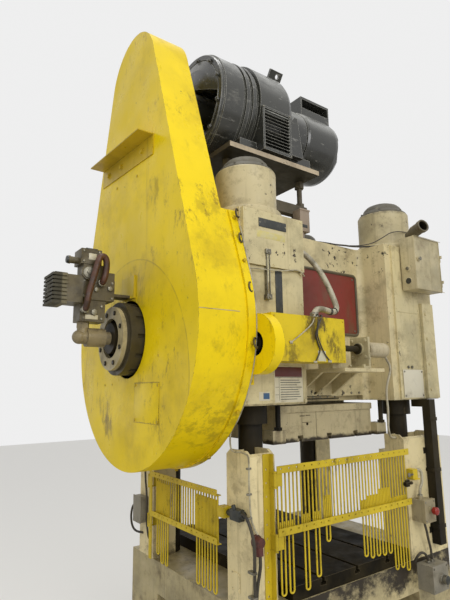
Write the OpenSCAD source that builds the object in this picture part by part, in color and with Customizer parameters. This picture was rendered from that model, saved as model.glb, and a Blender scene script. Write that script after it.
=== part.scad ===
// Straight-side mechanical stamping press with overhead motor, guarded flywheel
// and adjustable hairpin barrier guards.
// Origin: floor level in the middle of the whole outline. Front faces -Y, flywheel side is -X.

/* [Bed] */
// Width of the bed
bed_w = 1538; // [1450:1:1620]
// Depth of the bed, front to back
bed_d = 1200; // [1150:1:1260]
// Height of the bed above its feet
bed_h = 685; // [640:1:700]
// Height of the levelling feet
foot_h = 30; // [20:1:40]
// Thickness of the bolster plate
bolster_t = 65; // [50:1:80]
// Wall thickness of the cast bed
bed_wall = 70; // [50:1:90]

/* [Uprights] */
// Height of the corner uprights above the bed
upright_h = 690; // [600:1:740]
// Width of the left uprights
upright_w = 150; // [130:1:160]
// Width of the right front upright
upright_wide = 374; // [340:1:390]
// Depth of the uprights
upright_d = 180; // [160:1:200]
// Wall of the uprights
upright_wall = 16; // [10:1:25]

/* [Crown] */
// Width of the crown
crown_w = 1610; // [1560:1:1620]
// Depth of the crown
crown_d = 1200; // [1160:1:1240]
// Height of the crown
crown_h = 970; // [940:1:990]
// Daylight between the bed and the crown
daylight = 895; // [880:1:930]
// Wall thickness of the cast crown
crown_wall = 70; // [55:1:80]
// Width of the recess between the front piers
recess_w = 730; // [690:1:760]
// Depth of the recess
recess_d = 200; // [170:1:220]
// Radius of the recess corners
recess_r = 40; // [20:1:60]

/* [Tie rods] */
// Half distance between the tie rods, side to side
tie_x = 611; // [600:1:620]
// Half distance between the tie rods, front to back
tie_y = 410; // [400:1:420]
// Tie rod radius
tie_r = 40; // [30:1:48]
// Radius of the column sleeve round a tie rod
sleeve_r = 62; // [54:1:75]
// Radius of the collar at the top of the sleeve
collar_r = 88; // [80:1:95]
// Radius of the turret over a tie rod nut
turret_r = 164; // [150:1:175]
// Height of the turret
turret_h = 270; // [240:1:300]

/* [Drive] */
// Height of the crankshaft axis above the crown's underside
crank_rise = 345; // [330:1:360]
// Throw of the crankshaft
throw = 38; // [25:1:42]
// Radius of the main journals
journal_r = 85; // [75:1:90]
// Flywheel radius
flywheel_r = 600; // [560:1:620]
// Width of the flywheel rim
flywheel_w = 150; // [130:1:160]
// Sheave radius on the motor
sheave_r = 160; // [140:1:180]
// Height of the motor axis above the crankshaft
motor_rise = 1495; // [1480:1:1510]
// Number of belts
belt_n = 5; // [3:1:5]
// Pitch of the belts
belt_pitch = 26; // [24:1:28]

/* [Drive guard] */
// Radius of the guard's lower arc
guard_low_r = 718; // [700:1:730]
// Radius of the guard's upper arc
guard_top_r = 283; // [270:1:300]
// Depth of the guard at the crown
guard_d = 304; // [295:1:310]
// Depth of the shallow upper part
guard_top_d = 222; // [215:1:232]
// Height at which the depth steps down, above the crown's underside
guard_step = 957; // [930:1:980]
// Sheet thickness of the guard
guard_t = 5; // [3:0.5:8]
// Radius of the opening round the clutch
guard_hole_r = 208; // [205:1:214]

/* [Slide] */
// Width of the slide
slide_w = 760; // [720:1:780]
// Depth of the slide
slide_d = 800; // [760:1:820]
// Height of the slide block
slide_h = 195; // [170:1:205]
// Stroke that the slide travels
stroke = 76; // [50:1:84]

/* [Motor] */
// Radius of the motor barrel
motor_r = 366; // [350:1:370]
// Radius of the motor's drive end
motor_end_r = 340; // [320:1:350]
// Length of the drive end
motor_end_l = 180; // [160:1:200]
// Length of the barrel
motor_l = 337; // [310:1:345]
// Radius of the rear drum
drum_r = 240; // [220:1:250]
// Length of the rear drum
drum_l = 367; // [340:1:400]
// Thickness of the motor base plate
plate_t = 30; // [20:1:36]

/* [Front gate] */
// Left end of the front gate
gate_x0 = -646; // [-650:1:-640]
// Right end of the front gate
gate_x1 = 367; // [355:1:380]
// Height of the gate's top edge above the floor
gate_z = 1336; // [1300:1:1345]
// Distance between the tops of the two rails
gate_rail_gap = 272; // [250:1:290]
// Height of a rail
rail_h = 34; // [28:1:38]
// Radius of a guard rod
rod_r = 4.2; // [3:0.1:5]
// Pitch of the guard rods
rod_pitch = 25; // [22:1:30]

/* [Side gate] */
// Front end of the side gate
side_y0 = -395; // [-400:1:-390]
// Rear end of the side gate
side_y1 = 300; // [290:1:310]
// Height of the side gate's top edge above the floor
side_z = 1215; // [1190:1:1225]
// Distance between the tops of the side gate's rails
side_rail_gap = 218; // [200:1:230]

/* [Rotary cam] */
// Distance of the cam shaft in front of the crown
cam_out = 97; // [90:1:105]
// Height of the cam shaft above the crown's underside
cam_rise = 282; // [275:1:290]
// Radius of the cam shaft
cam_r = 16; // [12:1:20]
// Radius of the disc guard
disc_r = 139; // [130:1:145]

/* [Hidden] */

$fn = 48;
eps = 0.01;
gap = 0.3;
run_fit = 0.05;

floor_z = 0;
bed_top = foot_h + bed_h;
bolster_top = bed_top + bolster_t;
crown_z0 = bed_top + daylight;
crown_z1 = crown_z0 + crown_h;
upright_top = bed_top + upright_h;
crank_z = crown_z0 + crank_rise;
motor_z = crank_z + motor_rise;
bed_x = bed_w / 2;
bolster_x0 = -bed_x + 249;
bolster_x1 = bed_x - 389;
slot_pitch = (bolster_x1 - bolster_x0) * 5 / 18;
bed_y = bed_d / 2;
crown_x = crown_w / 2;
crown_y = crown_d / 2;
recess_x = -30;
recess_x0 = recess_x - recess_w / 2;
recess_x1 = recess_x + recess_w / 2;
recess_y = -crown_y + recess_d;
lip_h = 30;

// crown cavity and openings
cavity_y = 340;
cavity_z0 = crown_z0 + 60;
cavity_z1 = crown_z1 - 50;
neck_w = 600;
neck_d = 520;
gib_t = 45;
slide_gap = 18;
guide_rod_r = 14;
guide_rod_x = [-448, 408];
guide_rod_y = -440;
slide_z1 = crown_z0 - slide_gap;
slide_z0 = slide_z1 - slide_h;
slide_x = -20;
neck_top = crown_z0 + 170;

// drive line, everything along X
guard_x1 = -crown_x - gap;
guard_x0 = guard_x1 - guard_d;
guard_mid = guard_x0 + guard_top_d;
guard_rise = 40;
guard_shift = 12;
guard_top_rise = 50;
guard_top_shift = 35;
guard_low_z = crank_z + guard_rise;
guard_top_z = motor_z + guard_top_rise;
guard_step_z = crown_z0 + guard_step;
rim_x1 = guard_mid - 28;
rim_x0 = rim_x1 - flywheel_w;
bore_gap = 0.06;
bearing_wall = 25;
bearing_l = 110;
chain_x0 = -766;
chain_x1 = -752;
sprocket_r = 100;
chain_t = 9;
bulkhead_x0 = -crown_x + 68;
bulkhead_x1 = bulkhead_x0 + bearing_l;
quill_r = journal_r - 5;
drum_x0 = guard_x0 - 78;
clutch_r = 192;
ring_r = 166;
ring_t = 22;
shaft_end_x = drum_x0 - 28;

// connecting rods
rod_x = [-190, 150];
crankpin_r = 112;
big_end_r = 150;
big_end_w = 100;
rod_len = 250;
rod_end_r = 48;
pocket_r = rod_end_r + 2 * throw + 14;

// motor
motor_y = 20;
motor_x0 = -705;
plate_z1 = motor_z - motor_r - 12;
plate_z0 = plate_z1 - plate_t;
plate_x0 = -685;
plate_x1 = 30;
neck_r = 230;
motor_x1 = motor_x0 + motor_end_l;
motor_x2 = motor_x1 + motor_l;
motor_drum_x0 = motor_x2 + 296;
plate_y = 370;
shaft_r = 42;
stand_top = crown_z1 + 286;

// rotary cam
cam_y = -crown_y - cam_out;
cam_z = crown_z0 + cam_rise;
disc_x0 = -800;
disc_x1 = -745;
box_x1 = -250;
box_y0 = -750;
box_z0 = crown_z0 + 202;
box_z1 = crown_z0 + 425;
bracket_x = -81;
shelf_z = crown_z0 + 178;

// gates
gate_y = -bed_y - 25;
rail_t = 22;
hinge_x = gate_x0 - 8;
side_x = -bed_x - 22;
side_hinge_y = side_y1 + 22;

// The origin is on the floor in the middle of the whole outline, not of the bed
function middle_x() = -(silencer_x0 + crown_x) / 2;
function middle_y() = -(cam_y - disc_r + guard_shift + guard_low_r + 9) / 2;

module placed() {
    translate([middle_x(), middle_y(), 0]) children();
}

function tangent_angle(r1, r2, dist) = asin((r1 - r2) / dist);

// Outline of two round ends joined by their outer tangents, first end low, second high
module teardrop(y1, z1, r1, y2, z2, r2) {
    dist = norm([y2 - y1, z2 - z1]);
    lean = atan2(y1 - y2, z2 - z1);
    a = tangent_angle(r1, r2, dist);
    translate([y1, z1]) circle(r = r1, $fn = 96);
    translate([y2, z2]) circle(r = r2, $fn = 96);
    s1 = r1 - 0.05;
    s2 = r2 - 0.05;
    translate([y1, z1]) rotate(lean)
        polygon([[s1 * cos(a), s1 * sin(a)], [s2 * cos(a), dist + s2 * sin(a)],
                 [-s2 * cos(a), dist + s2 * sin(a)], [-s1 * cos(a), s1 * sin(a)]]);
}

// Turns an outline drawn in Y and Z into a solid from x0, of thickness t along X
module along_x(x0, t) {
    translate([x0, 0, 0]) rotate([90, 0, 90]) linear_extrude(t) children();
}

module guard_outline(inset) {
    teardrop(guard_shift, guard_low_z, guard_low_r - inset,
             guard_top_shift, guard_top_z, guard_top_r - inset);
}

module bar(x0, x1, y0, y1, z0, z1) {
    translate([x0, y0, z0]) cube([x1 - x0, y1 - y0, z1 - z0]);
}

module rod_along_x(x0, x1, y, z, r) {
    translate([x0, y, z]) rotate([0, 90, 0]) cylinder(r = r, h = x1 - x0);
}

module rod_along_y(y0, y1, x, z, r) {
    translate([x, y1, z]) rotate([90, 0, 0]) cylinder(r = r, h = y1 - y0);
}

module at_tie_rods() {
    for (sx = [-1, 1], sy = [-1, 1])
        translate([sx * tie_x, sy * tie_y, 0]) children();
}

module hex(across, h) {
    cylinder(r = across / sqrt(3), h = h, $fn = 6);
}

// Bed: hollow casting, open through front and back for scrap, with a foot flange
module bed() {
    placed() color("wheat") difference() {
        union() {
            bar(-bed_x, bed_x, -bed_y, bed_y, foot_h, bed_top);
            bar(-bed_x - 18, bed_x + 18, -bed_y - 18, bed_y + 18, foot_h, foot_h + 55);
        }
        bar(-bed_x + 330, bed_x - 330, -bed_y - 30, bed_y + 30, foot_h + 150, bed_top - 170);
        bar(-bed_x - 30, bed_x + 30, -bed_y + 330, bed_y - 330, foot_h + 150, bed_top - 170);
        bar(-260, 260, -190, 190, bed_top - 200, bed_top + 1);
        for (sx = [-1, 1], sy = [-1, 1]) translate([sx * tie_x, sy * tie_y, 0])
            translate([0, 0, foot_h + 60]) cylinder(r = tie_r + 3, h = bed_h);
        for (sx = [-1, 1], sy = [-1, 1]) translate([sx * tie_x, sy * tie_y, foot_h - 1])
            cylinder(r = 85, h = 121);
        for (sx = [-1, 1], sy = [-1, 1]) translate([sx * (bed_x - 60), sy * (bed_y - 60), foot_h - 1])
            cylinder(r = 13, h = 64);
    }
}

module levelling_feet() {
    placed() color("dimgray") for (sx = [-1, 1], sy = [-1, 1])
        translate([sx * (bed_x - 60), sy * (bed_y - 60), 0]) {
            cylinder(r = 55, h = foot_h);
            translate([0, 0, foot_h - 1]) cylinder(r = 12.5, h = 60);
        }
}

// Bolster: flat plate with three T-slots from front to back
module bolster() {
    placed() color("dimgray") difference() {
        bar(bolster_x0, bolster_x1, -bed_y + 6, bed_y - 6, bed_top, bolster_top);
        for (i = [-1 : 1]) translate([i * slot_pitch + (bolster_x0 + bolster_x1) / 2, 0, 0]) {
            bar(-11, 11, -bed_y, bed_y, bolster_top - 34, bolster_top + 1);
            bar(-20, 20, -bed_y, bed_y, bolster_top - 34, bolster_top - 17);
        }
        translate([(bolster_x0 + bolster_x1 - slot_pitch) / 2, 0, bed_top - 1])
            cylinder(r = 60, h = bolster_t + 2);
    }
}

// Upright: hollow corner post with a sloping top, cut clear of the column sleeve
module upright(x0, x1, y0, y1, sleeve_x, sleeve_y) {
    difference() {
        intersection() {
            bar(x0, x1, y0, y1, bed_top, upright_top);
            translate([x0 - 1, 0, 0]) rotate([90, 0, 90]) linear_extrude(x1 - x0 + 2)
                polygon([[y0 - 1, bed_top - 1], [y1 + 1, bed_top - 1], [y1 + 1, upright_top - 24],
                         [y1 - 30, upright_top + 1], [y0 + 36, upright_top + 1],
                         [y0 - 1, upright_top - 26]]);
        }
        bar(x0 + upright_wall, x1 - upright_wall, y0 + upright_wall, y1 - upright_wall,
            bed_top + 40, upright_top + 1);
        translate([sleeve_x, sleeve_y, bed_top - 1]) cylinder(r = sleeve_r + 6, h = upright_h + 2);
    }
}

module upright_front_left() {
    placed() color("wheat") upright(-bed_x, -bed_x + upright_w, -bed_y, -bed_y + upright_d, -tie_x, -tie_y);
}

// The right one has a relief in its top edge for the slide's bracket and guide rod
module upright_front_right() {
    x0 = bed_x - upright_wide;
    placed() color("wheat") difference() {
        upright(x0, bed_x, -bed_y, -bed_y + upright_d, tie_x, -tie_y);
        bar(x0 - 1, guide_rod_x[1] + 48, guide_rod_y - 26, -bed_y + upright_d + 1,
            slide_z0 - stroke - 10, upright_top + 1);
    }
}

module rear_uprights() {
    y0 = side_hinge_y + 8;
    placed() color("wheat") {
        upright(-bed_x, -bed_x + upright_w, y0, y0 + upright_d, -tie_x, tie_y);
        upright(bed_x - upright_w, bed_x, y0, y0 + upright_d, tie_x, tie_y);
    }
}

// Guide rods that hang from the slide's front brackets and run up into the crown
module slide_guide_rods() {
    placed() color("dimgray") for (x = guide_rod_x) {
        translate([x, guide_rod_y, slide_z0 + 74]) cylinder(r = guide_rod_r, h = 300);
        translate([x, guide_rod_y, slide_z0 + 74]) hex(38, 16);
    }
}

// Column sleeves: turned spacers that the tie rods pull the crown down onto
module column_sleeves() {
    placed() color("dimgray") at_tie_rods() difference() {
        union() {
            translate([0, 0, bed_top]) cylinder(r = sleeve_r, h = daylight);
            translate([0, 0, crown_z0 - 95]) cylinder(r = collar_r, h = 95);
        }
        translate([0, 0, bed_top - 1]) cylinder(r = tie_r + 2, h = daylight + 2);
    }
}

module tie_rods() {
    placed() color("gray") at_tie_rods()
        translate([0, 0, foot_h + 66]) cylinder(r = tie_r, h = crown_z1 + 130 - foot_h - 66);
}

module tie_rod_nuts() {
    placed() color("silver") at_tie_rods() {
        translate([0, 0, crown_z1]) difference() {
            hex(130, 80);
            translate([0, 0, -1]) cylinder(r = tie_r + 0.1, h = 82);
        }
        translate([0, 0, foot_h + 70]) difference() {
            hex(130, 50);
            translate([0, 0, -1]) cylinder(r = tie_r + 0.1, h = 52);
        }
    }
}

// Crown: box casting with two front piers, a recess between them and a cavity for the crank
module crown() {
    placed() color("wheat") difference() {
        bar(-crown_x, crown_x, -crown_y, crown_y, crown_z0, crown_z1);
        // recess between the piers, round in its back corners
        translate([0, 0, crown_z0 - 1]) linear_extrude(crown_h + 2) {
            translate([recess_x0, -crown_y - 1]) square([recess_w, recess_d + 1 - recess_r]);
            translate([recess_x0 + recess_r, -crown_y - 1]) square([recess_w - 2 * recess_r, recess_d + 1]);
            for (x = [recess_x0 + recess_r, recess_x1 - recess_r])
                translate([x, recess_y - recess_r]) circle(r = recess_r);
        }
        bar(recess_x0 + recess_r, recess_x1 - recess_r, recess_y - 1, -cavity_y - 20,
            crown_z0 - 1, crown_z0 + lip_h);
        // crank chamber
        bar(bulkhead_x1, crown_x - crown_wall, -cavity_y, cavity_y, cavity_z0, cavity_z1);
        // compartment of the cam chain, open at the front
        bar(chain_x0 - 6, chain_x1 + 10, -crown_y - 1, 150, cam_z - 105, crank_z + 150);
        // mouth for the slide's neck and its gibs
        bar(slide_x - neck_w / 2 - gib_t, slide_x + neck_w / 2 + gib_t,
            -neck_d / 2 - gib_t, neck_d / 2 + gib_t, crown_z0 - 1, cavity_z0 + 1);
        // crankshaft bearings
        rod_along_x(-crown_x - 1, bulkhead_x0, 0, crank_z, journal_r + 5);
        rod_along_x(bulkhead_x0 - 30, crown_x + 1, 0, crank_z, journal_r + bearing_wall);
        for (x = guide_rod_x) translate([x, guide_rod_y, crown_z0 - 1]) cylinder(r = guide_rod_r + run_fit, h = 220);
        // tie rods
        at_tie_rods() translate([0, 0, crown_z0 - 1]) cylinder(r = tie_r + 2, h = crown_h + 2);
        // rear service opening
        bar(-330, 330, cavity_y - 1, crown_y + 1, crown_z0 + 300, crown_z0 + 720);
    }
}

// Turret over each tie rod nut, with a foot flange and a coned shoulder
module tie_rod_turrets() {
    foot_t = 40;
    shoulder = 60;
    placed() color("wheat") at_tie_rods() translate([0, 0, crown_z1]) rotate_extrude($fn = 64)
        polygon([[turret_r - 12, 0], [turret_r + 30, 0], [turret_r + 30, foot_t],
                 [turret_r, foot_t], [turret_r, turret_h - shoulder],
                 [turret_r - 12, turret_h - shoulder + 24],
                 [turret_r - 36, turret_h], [turret_r - 48, turret_h],
                 [turret_r - 24, turret_h - shoulder], [turret_r - 12, turret_h - shoulder - 10]]);
}

module turret_caps() {
    cap_r = turret_r - 37;
    placed() color("dimgray") at_tie_rods() translate([0, 0, crown_z1 + turret_h]) rotate_extrude($fn = 64)
        polygon([[0, 0], [cap_r, 0], [cap_r, 14], [cap_r - 8, 40], [cap_r - 26, 58], [0, 66]]);
}

// Flat cover plates bolted to the front piers
module pier_covers() {
    placed() color("cornsilk") {
        difference() {
            bar(-crown_x + 8, recess_x0 - 4, -crown_y - 12, -crown_y, crown_z0 + 8, crown_z0 + 678);
            bar(-crown_x, chain_x1 + 10, -crown_y - 13, -crown_y + 1, cam_z - 120, cam_z + 124);
        }
        bar(-crown_x + 6, recess_x0 - 2, -crown_y - 26, -crown_y, crown_z0 + 680, crown_z1 - 6);
        difference() {
            bar(recess_x1 + 60, recess_x1 + 312, -crown_y - 12, -crown_y, crown_z0 + 6, crown_z1 - 6);
            bar(recess_x1 + 66, recess_x1 + 306, -crown_y - 13, -crown_y - 9, crown_z0 + 12, crown_z0 + 540);
        }
        bar(recess_x1 + 318, crown_x - 30, -crown_y - 30, -crown_y, crown_z0 + 6, crown_z0 + 610);
        for (i = [0 : 3]) rod_along_y(-crown_y - 36, -crown_y - 29, recess_x1 + 350,
                                      crown_z0 + 60 + 160 * i, 9);
        for (z = [16, 670], x = [-crown_x + 24, recess_x0 - 20])
            rod_along_y(-crown_y - 19, -crown_y - 11, x, crown_z0 + z, 9);
    }
}

plate_w = 632;
plate_h = 400;
nameplate_z = crown_z0 + 592;
frame_t = 16;

module rounded_sheet(w, h, r) {
    union() {
        square([w - 2 * r, h], center = true);
        square([w, h - 2 * r], center = true);
        for (sx = [-1, 1], sy = [-1, 1]) translate([sx * (w / 2 - r), sy * (h / 2 - r)])
            circle(r = r);
    }
}

module on_recess(y, t) {
    translate([recess_x, y, nameplate_z]) rotate([90, 0, 0]) linear_extrude(t) children();
}

module nameplate_frame() {
    placed() color("dimgray") on_recess(recess_y, 12) difference() {
        rounded_sheet(plate_w, plate_h, 34);
        rounded_sheet(plate_w - 2 * frame_t, plate_h - 2 * frame_t, 20);
    }
}

module nameplate() {
    placed() color("brown") on_recess(recess_y, 7)
        rounded_sheet(plate_w - 2 * frame_t - 1, plate_h - 2 * frame_t - 1, 19.5);
}

// Shelf on the crown that carries the cam box, with two gussets under it
module cam_shelf() {
    placed() color("wheat") {
        bar(-274, 44, -crown_y - 160, recess_y, crown_z0 + 160, shelf_z);
        bar(box_x1 + 14 - 60, box_x1 + 14, -crown_y - 100, -crown_y, shelf_z - 1, box_z0);
        for (x = [-262, -120, 20]) translate([x, 0, 0]) rotate([90, 0, 90]) linear_extrude(16)
            polygon([[recess_y, crown_z0 + 40], [recess_y, crown_z0 + 160],
                     [recess_y - 190, crown_z0 + 160]]);
    }
}

// Drive guard: folded sheet shell, deep at the crown and shallower above the step
module drive_guard() {
    back_t = guard_t;
    band_w = 44;
    placed() color("gold") difference() {
        union() {
            along_x(guard_x0, guard_top_d) guard_outline(0);
            intersection() {
                along_x(guard_mid - 1, guard_x1 - guard_mid + 1) guard_outline(0);
                bar(guard_x0, guard_x1, -1000, 1000, crown_z0 - 500, guard_step_z);
            }
            intersection() {
                along_x(guard_x1 - band_w, band_w) guard_outline(-9);
                bar(guard_x0, guard_x1, -1000, 1000, crown_z0 - 500, guard_step_z - 4);
            }
        }
        along_x(guard_x0 + guard_t, guard_top_d - guard_t - back_t) guard_outline(guard_t);
        intersection() {
            along_x(guard_x0 + guard_t, guard_x1 - guard_x0 - guard_t - back_t) guard_outline(guard_t);
            bar(guard_x0, guard_x1, -1000, 1000, crown_z0 - 500, guard_step_z - guard_t);
        }
        rod_along_x(guard_x0 - 1, guard_x0 + guard_t + 1, 0, crank_z, guard_hole_r);
        rod_along_x(guard_x1 - back_t - 1, guard_x1 + 1, 0, crank_z, journal_r + 60);
        rod_along_x(guard_mid - back_t - 1, guard_mid + 1, motor_y, motor_z, shaft_r + 30);
    }
}

// Bolts that hold the guard's flange, on its lower arc and up its front edge
module guard_bolts() {
    bolt_r = 9;
    bolt_l = 12;
    lip = 9;
    dist = norm([guard_top_shift - guard_shift, guard_top_z - guard_low_z]);
    lean = atan2(guard_shift - guard_top_shift, guard_top_z - guard_low_z);
    a = tangent_angle(guard_low_r, guard_top_r, dist);
    r1 = guard_low_r + lip;
    run = (r1 - guard_top_r - lip) / tan(a);
    placed() color("goldenrod") translate([guard_x1 - 22, guard_shift, guard_low_z]) rotate([90, 0, 90]) {
        for (b = [188 : 26 : 352]) rotate(b) translate([r1, 0, 0])
            rotate([0, 90, 0]) cylinder(r = bolt_r, h = bolt_l);
        rotate(lean) for (k = [0.05, 0.22]) translate([-r1 * cos(a), r1 * sin(a), 0])
            rotate(90 - a) translate([run * k, 0, 0])
                rotate([-90, 0, 0]) cylinder(r = bolt_r, h = bolt_l);
    }
}

// Access panel lines and the folded angle bracket on the guard's face
module angle_bracket() {
    leg = 110;
    out = 95;
    long = 690;
    wall = 6;
    placed() color("gold") translate([guard_x0, 75, crown_z0 + 1435]) rotate([4, 0, 0]) {
        bar(-wall, 0, -long / 2, long / 2, -leg, 0);
        bar(-out, 0, -long / 2, long / 2, 0, wall);
        for (y = [-220, 60, 250]) rod_along_x(-wall - 9, -wall, y, -leg / 2, 14);
    }
}

// Flywheel: grooved rim, web with lightening holes, long hub
module flywheel() {
    groove_w = 19;
    groove_d = 12;
    rim_t = 70;
    web_t = 40;
    hub_r = journal_r + 60;
    mid = (rim_x0 + rim_x1) / 2;
    placed() color("darkslategray") translate([0, 0, crank_z]) rotate([0, 90, 0]) difference() {
        union() {
            translate([0, 0, rim_x0]) difference() {
                cylinder(r = flywheel_r, h = flywheel_w, $fn = 96);
                translate([0, 0, -1]) cylinder(r = flywheel_r - rim_t, h = flywheel_w + 2, $fn = 96);
            }
            translate([0, 0, mid - web_t / 2]) cylinder(r = flywheel_r - rim_t + 1, h = web_t, $fn = 96);
            translate([0, 0, drum_x0 + 90]) cylinder(r = hub_r, h = rim_x1 + 20 - drum_x0 - 90);
        }
        for (i = [0 : belt_n - 1]) translate([0, 0, mid + (i - (belt_n - 1) / 2) * belt_pitch - groove_w / 2])
            difference() {
                cylinder(r = flywheel_r + 1, h = groove_w, $fn = 96);
                translate([0, 0, -1]) cylinder(r = flywheel_r - groove_d, h = groove_w + 2, $fn = 96);
            }
        for (a = [0 : 60 : 300]) rotate(a) translate([(flywheel_r - rim_t + hub_r) / 2, 0, mid - web_t])
            cylinder(r = 90, h = 2 * web_t);
        translate([0, 0, drum_x0]) cylinder(r = quill_r + bore_gap, h = rim_x1 - drum_x0 + 100);
    }
}

// Clutch drum bolted to the flywheel hub, standing out through the guard
module clutch_drum() {
    placed() color("dimgray") translate([drum_x0, 0, crank_z]) rotate([0, 90, 0]) difference() {
        union() {
            cylinder(r = ring_r + 4, h = 20);
            translate([0, 0, 12]) cylinder(r = clutch_r, h = 78);
        }
        translate([0, 0, -1]) cylinder(r = 118, h = 60);
        translate([0, 0, -1]) cylinder(r = quill_r + bore_gap, h = 100);
        for (a = [0 : 30 : 330]) rotate(a) translate([clutch_r, 0, 46])
            cylinder(r = 11, h = 50);
    }
}

// Ring with a bolt circle on the outer face of the clutch drum
module clutch_ring() {
    placed() color("wheat") translate([drum_x0 - ring_t, 0, crank_z]) rotate([0, 90, 0]) {
        difference() {
            cylinder(r = ring_r, h = ring_t);
            translate([0, 0, -1]) cylinder(r = 104, h = ring_t + 2);
            for (a = [22.5 : 45 : 360]) rotate(a) translate([ring_r - 28, 0, -1])
                cylinder(r = 9, h = ring_t + 2);
        }
    }
}

// Rotary union: stationary body on the shaft end, with its elbow and riser
module rotary_union() {
    ux = shaft_end_x;
    elbow_x = ux - 158;
    placed() color("wheat") difference() {
        union() {
            rod_along_x(ux - 32, ux - gap, 0, crank_z, 34);
            rod_along_x(ux - 125, ux - 31, 0, crank_z, 48);
            rod_along_x(elbow_x, ux - 120, 0, crank_z, 35);
            translate([elbow_x, 0, crank_z]) sphere(r = 36);
            translate([elbow_x + 16, 0, crank_z]) cylinder(r = 29, h = 46);
            translate([elbow_x + 16, 0, crank_z + 45]) hex(56, 30);
        }
        rod_along_x(ux - 60, ux + 1, 0, crank_z, 24);
    }
}

valve_x0 = shaft_end_x - 170;
valve_z0 = crank_z + 75;
silencer_x0 = valve_x0 - 155;

// Double air valve over the union, held to the guard by a bracket plate
module valve_body() {
    vx = valve_x0;
    vz = valve_z0;
    placed() color("slategray") {
        bar(vx - 8, vx + 123, -50, 50, vz, vz + 96);
        bar(vx - 6, vx + 169, -56, 56, vz + 112, vz + 220);
        bar(vx + 4, vx + 128, -46, 46, vz + 94, vz + 114);
        bar(vx + 4, vx + 122, -50, 50, vz + 219, vz + 296);
        bar(vx - 12, vx + 95, -54, 54, vz + 295, vz + 375);
        bar(vx - 83, vx, -66, 66, vz + 90, vz + 228);
        rod_along_y(-72, -49, vx + 23, vz + 246, 36);
        rod_along_x(vx - 53, vx - 11, 0, vz + 318, 18);
        rod_along_x(vx - 62, vx - 52, 0, vz + 318, 21);
        bar(vx + 168, guard_x0, -44, 44, vz + 141, vz + 155);
        bar(guard_x0 - 10, guard_x0, -80, 80, vz + 139, vz + 262);
        bar(vx + 120, vx + 170, -50, -20, vz + 219, vz + 262);
    }
}

// Silencer: round neck and a ribbed block
module valve_silencer() {
    z0 = valve_z0 + 78;
    fins = 8;
    placed() color("dimgray") {
        bar(silencer_x0 + 12, valve_x0 - 83, -70, 70, z0, z0 + 154);
        for (i = [0 : fins - 1]) bar(silencer_x0, valve_x0 - 83, -78, 78, z0 + i * 19.6, z0 + 12 + i * 19.6);
    }
}

hose_r = 17;
// Route of the air hose from the lower block over to the middle block, from the valve's corner
valve_route = [[13, -50.3, 58], [13, -62, 58], [12, -82, 68], [12, -95, 92], [17, -98, 130],
    [28, -98, 174], [40, -98, 220], [53, -98, 270], [67, -97, 313], [85, -94, 336],
    [101, -90, 328], [108, -86, 292], [105, -82, 252], [98, -78, 220], [95, -72, 205],
    [94, -62, 200], [94, -56.3, 200]];

// Turns a cross vector a little, so that it stays square to the next direction of a path
function carried(a, u) = let (b = a - (a * u) * u) b / norm(b);

function path_frames(dirs, i, a) = i >= len(dirs) ? []
    : let (u = dirs[i] / norm(dirs[i]), b = carried(a, u))
        concat([[b, cross(u, b)]], path_frames(dirs, i + 1, b));

function ring_points(c, f, r, k) =
    [for (j = [0 : k - 1]) c + r * cos(360 * j / k) * f[0] + r * sin(360 * j / k) * f[1]];

// Tube of radius r along a list of points, k sides
module tube(path, r, k) {
    n = len(path);
    dirs = [for (i = [0 : n - 1]) path[min(i + 1, n - 1)] - path[max(i - 1, 0)]];
    frames = path_frames(dirs, 0, [0, 0, 1]);
    pts = [for (i = [0 : n - 1]) each ring_points(path[i], frames[i], r, k)];
    sides = [for (i = [0 : n - 2], j = [0 : k - 1])
        [(i + 1) * k + j, (i + 1) * k + (j + 1) % k, i * k + (j + 1) % k, i * k + j]];
    polyhedron(pts, concat(sides, [[for (j = [0 : k - 1]) j]],
                           [[for (j = [k - 1 : -1 : 0]) (n - 1) * k + j]]), convexity = 8);
}

module valve_hose() {
    placed() color("saddlebrown") tube([for (p = valve_route) p + [valve_x0, 0, valve_z0]], hose_r, 10);
}

// V-belts between the flywheel and the motor sheave, each a closed loop in its groove
module v_belts() {
    belt_w = 15;
    belt_t = 12;
    seat = 11.5;
    mid = (rim_x0 + rim_x1) / 2;
    placed() color("black") for (i = [0 : belt_n - 1])
        along_x(mid + (i - (belt_n - 1) / 2) * belt_pitch - belt_w / 2, belt_w) difference() {
            teardrop(0, crank_z, flywheel_r - seat + belt_t, motor_y, motor_z, sheave_r - seat + belt_t);
            teardrop(0, crank_z, flywheel_r - seat, motor_y, motor_z, sheave_r - seat);
        }
}

module motor_sheave() {
    groove_w = 19;
    groove_d = 12;
    mid = (rim_x0 + rim_x1) / 2;
    placed() color("gray") translate([0, motor_y, motor_z]) rotate([0, 90, 0]) difference() {
        union() {
            translate([0, 0, rim_x0]) cylinder(r = sheave_r, h = flywheel_w, $fn = 64);
            translate([0, 0, rim_x0 - 20]) cylinder(r = shaft_r, h = motor_x0 + 60 - rim_x0 + 20);
        }
        for (i = [0 : belt_n - 1]) translate([0, 0, mid + (i - (belt_n - 1) / 2) * belt_pitch - groove_w / 2])
            difference() {
                cylinder(r = sheave_r + 1, h = groove_w, $fn = 64);
                translate([0, 0, -1]) cylinder(r = sheave_r - groove_d, h = groove_w + 2, $fn = 64);
            }
        translate([0, 0, rim_x0 - 1]) difference() {
            cylinder(r = sheave_r - 40, h = 50);
            translate([0, 0, -1]) cylinder(r = shaft_r + 22, h = 52);
        }
    }
}

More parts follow.
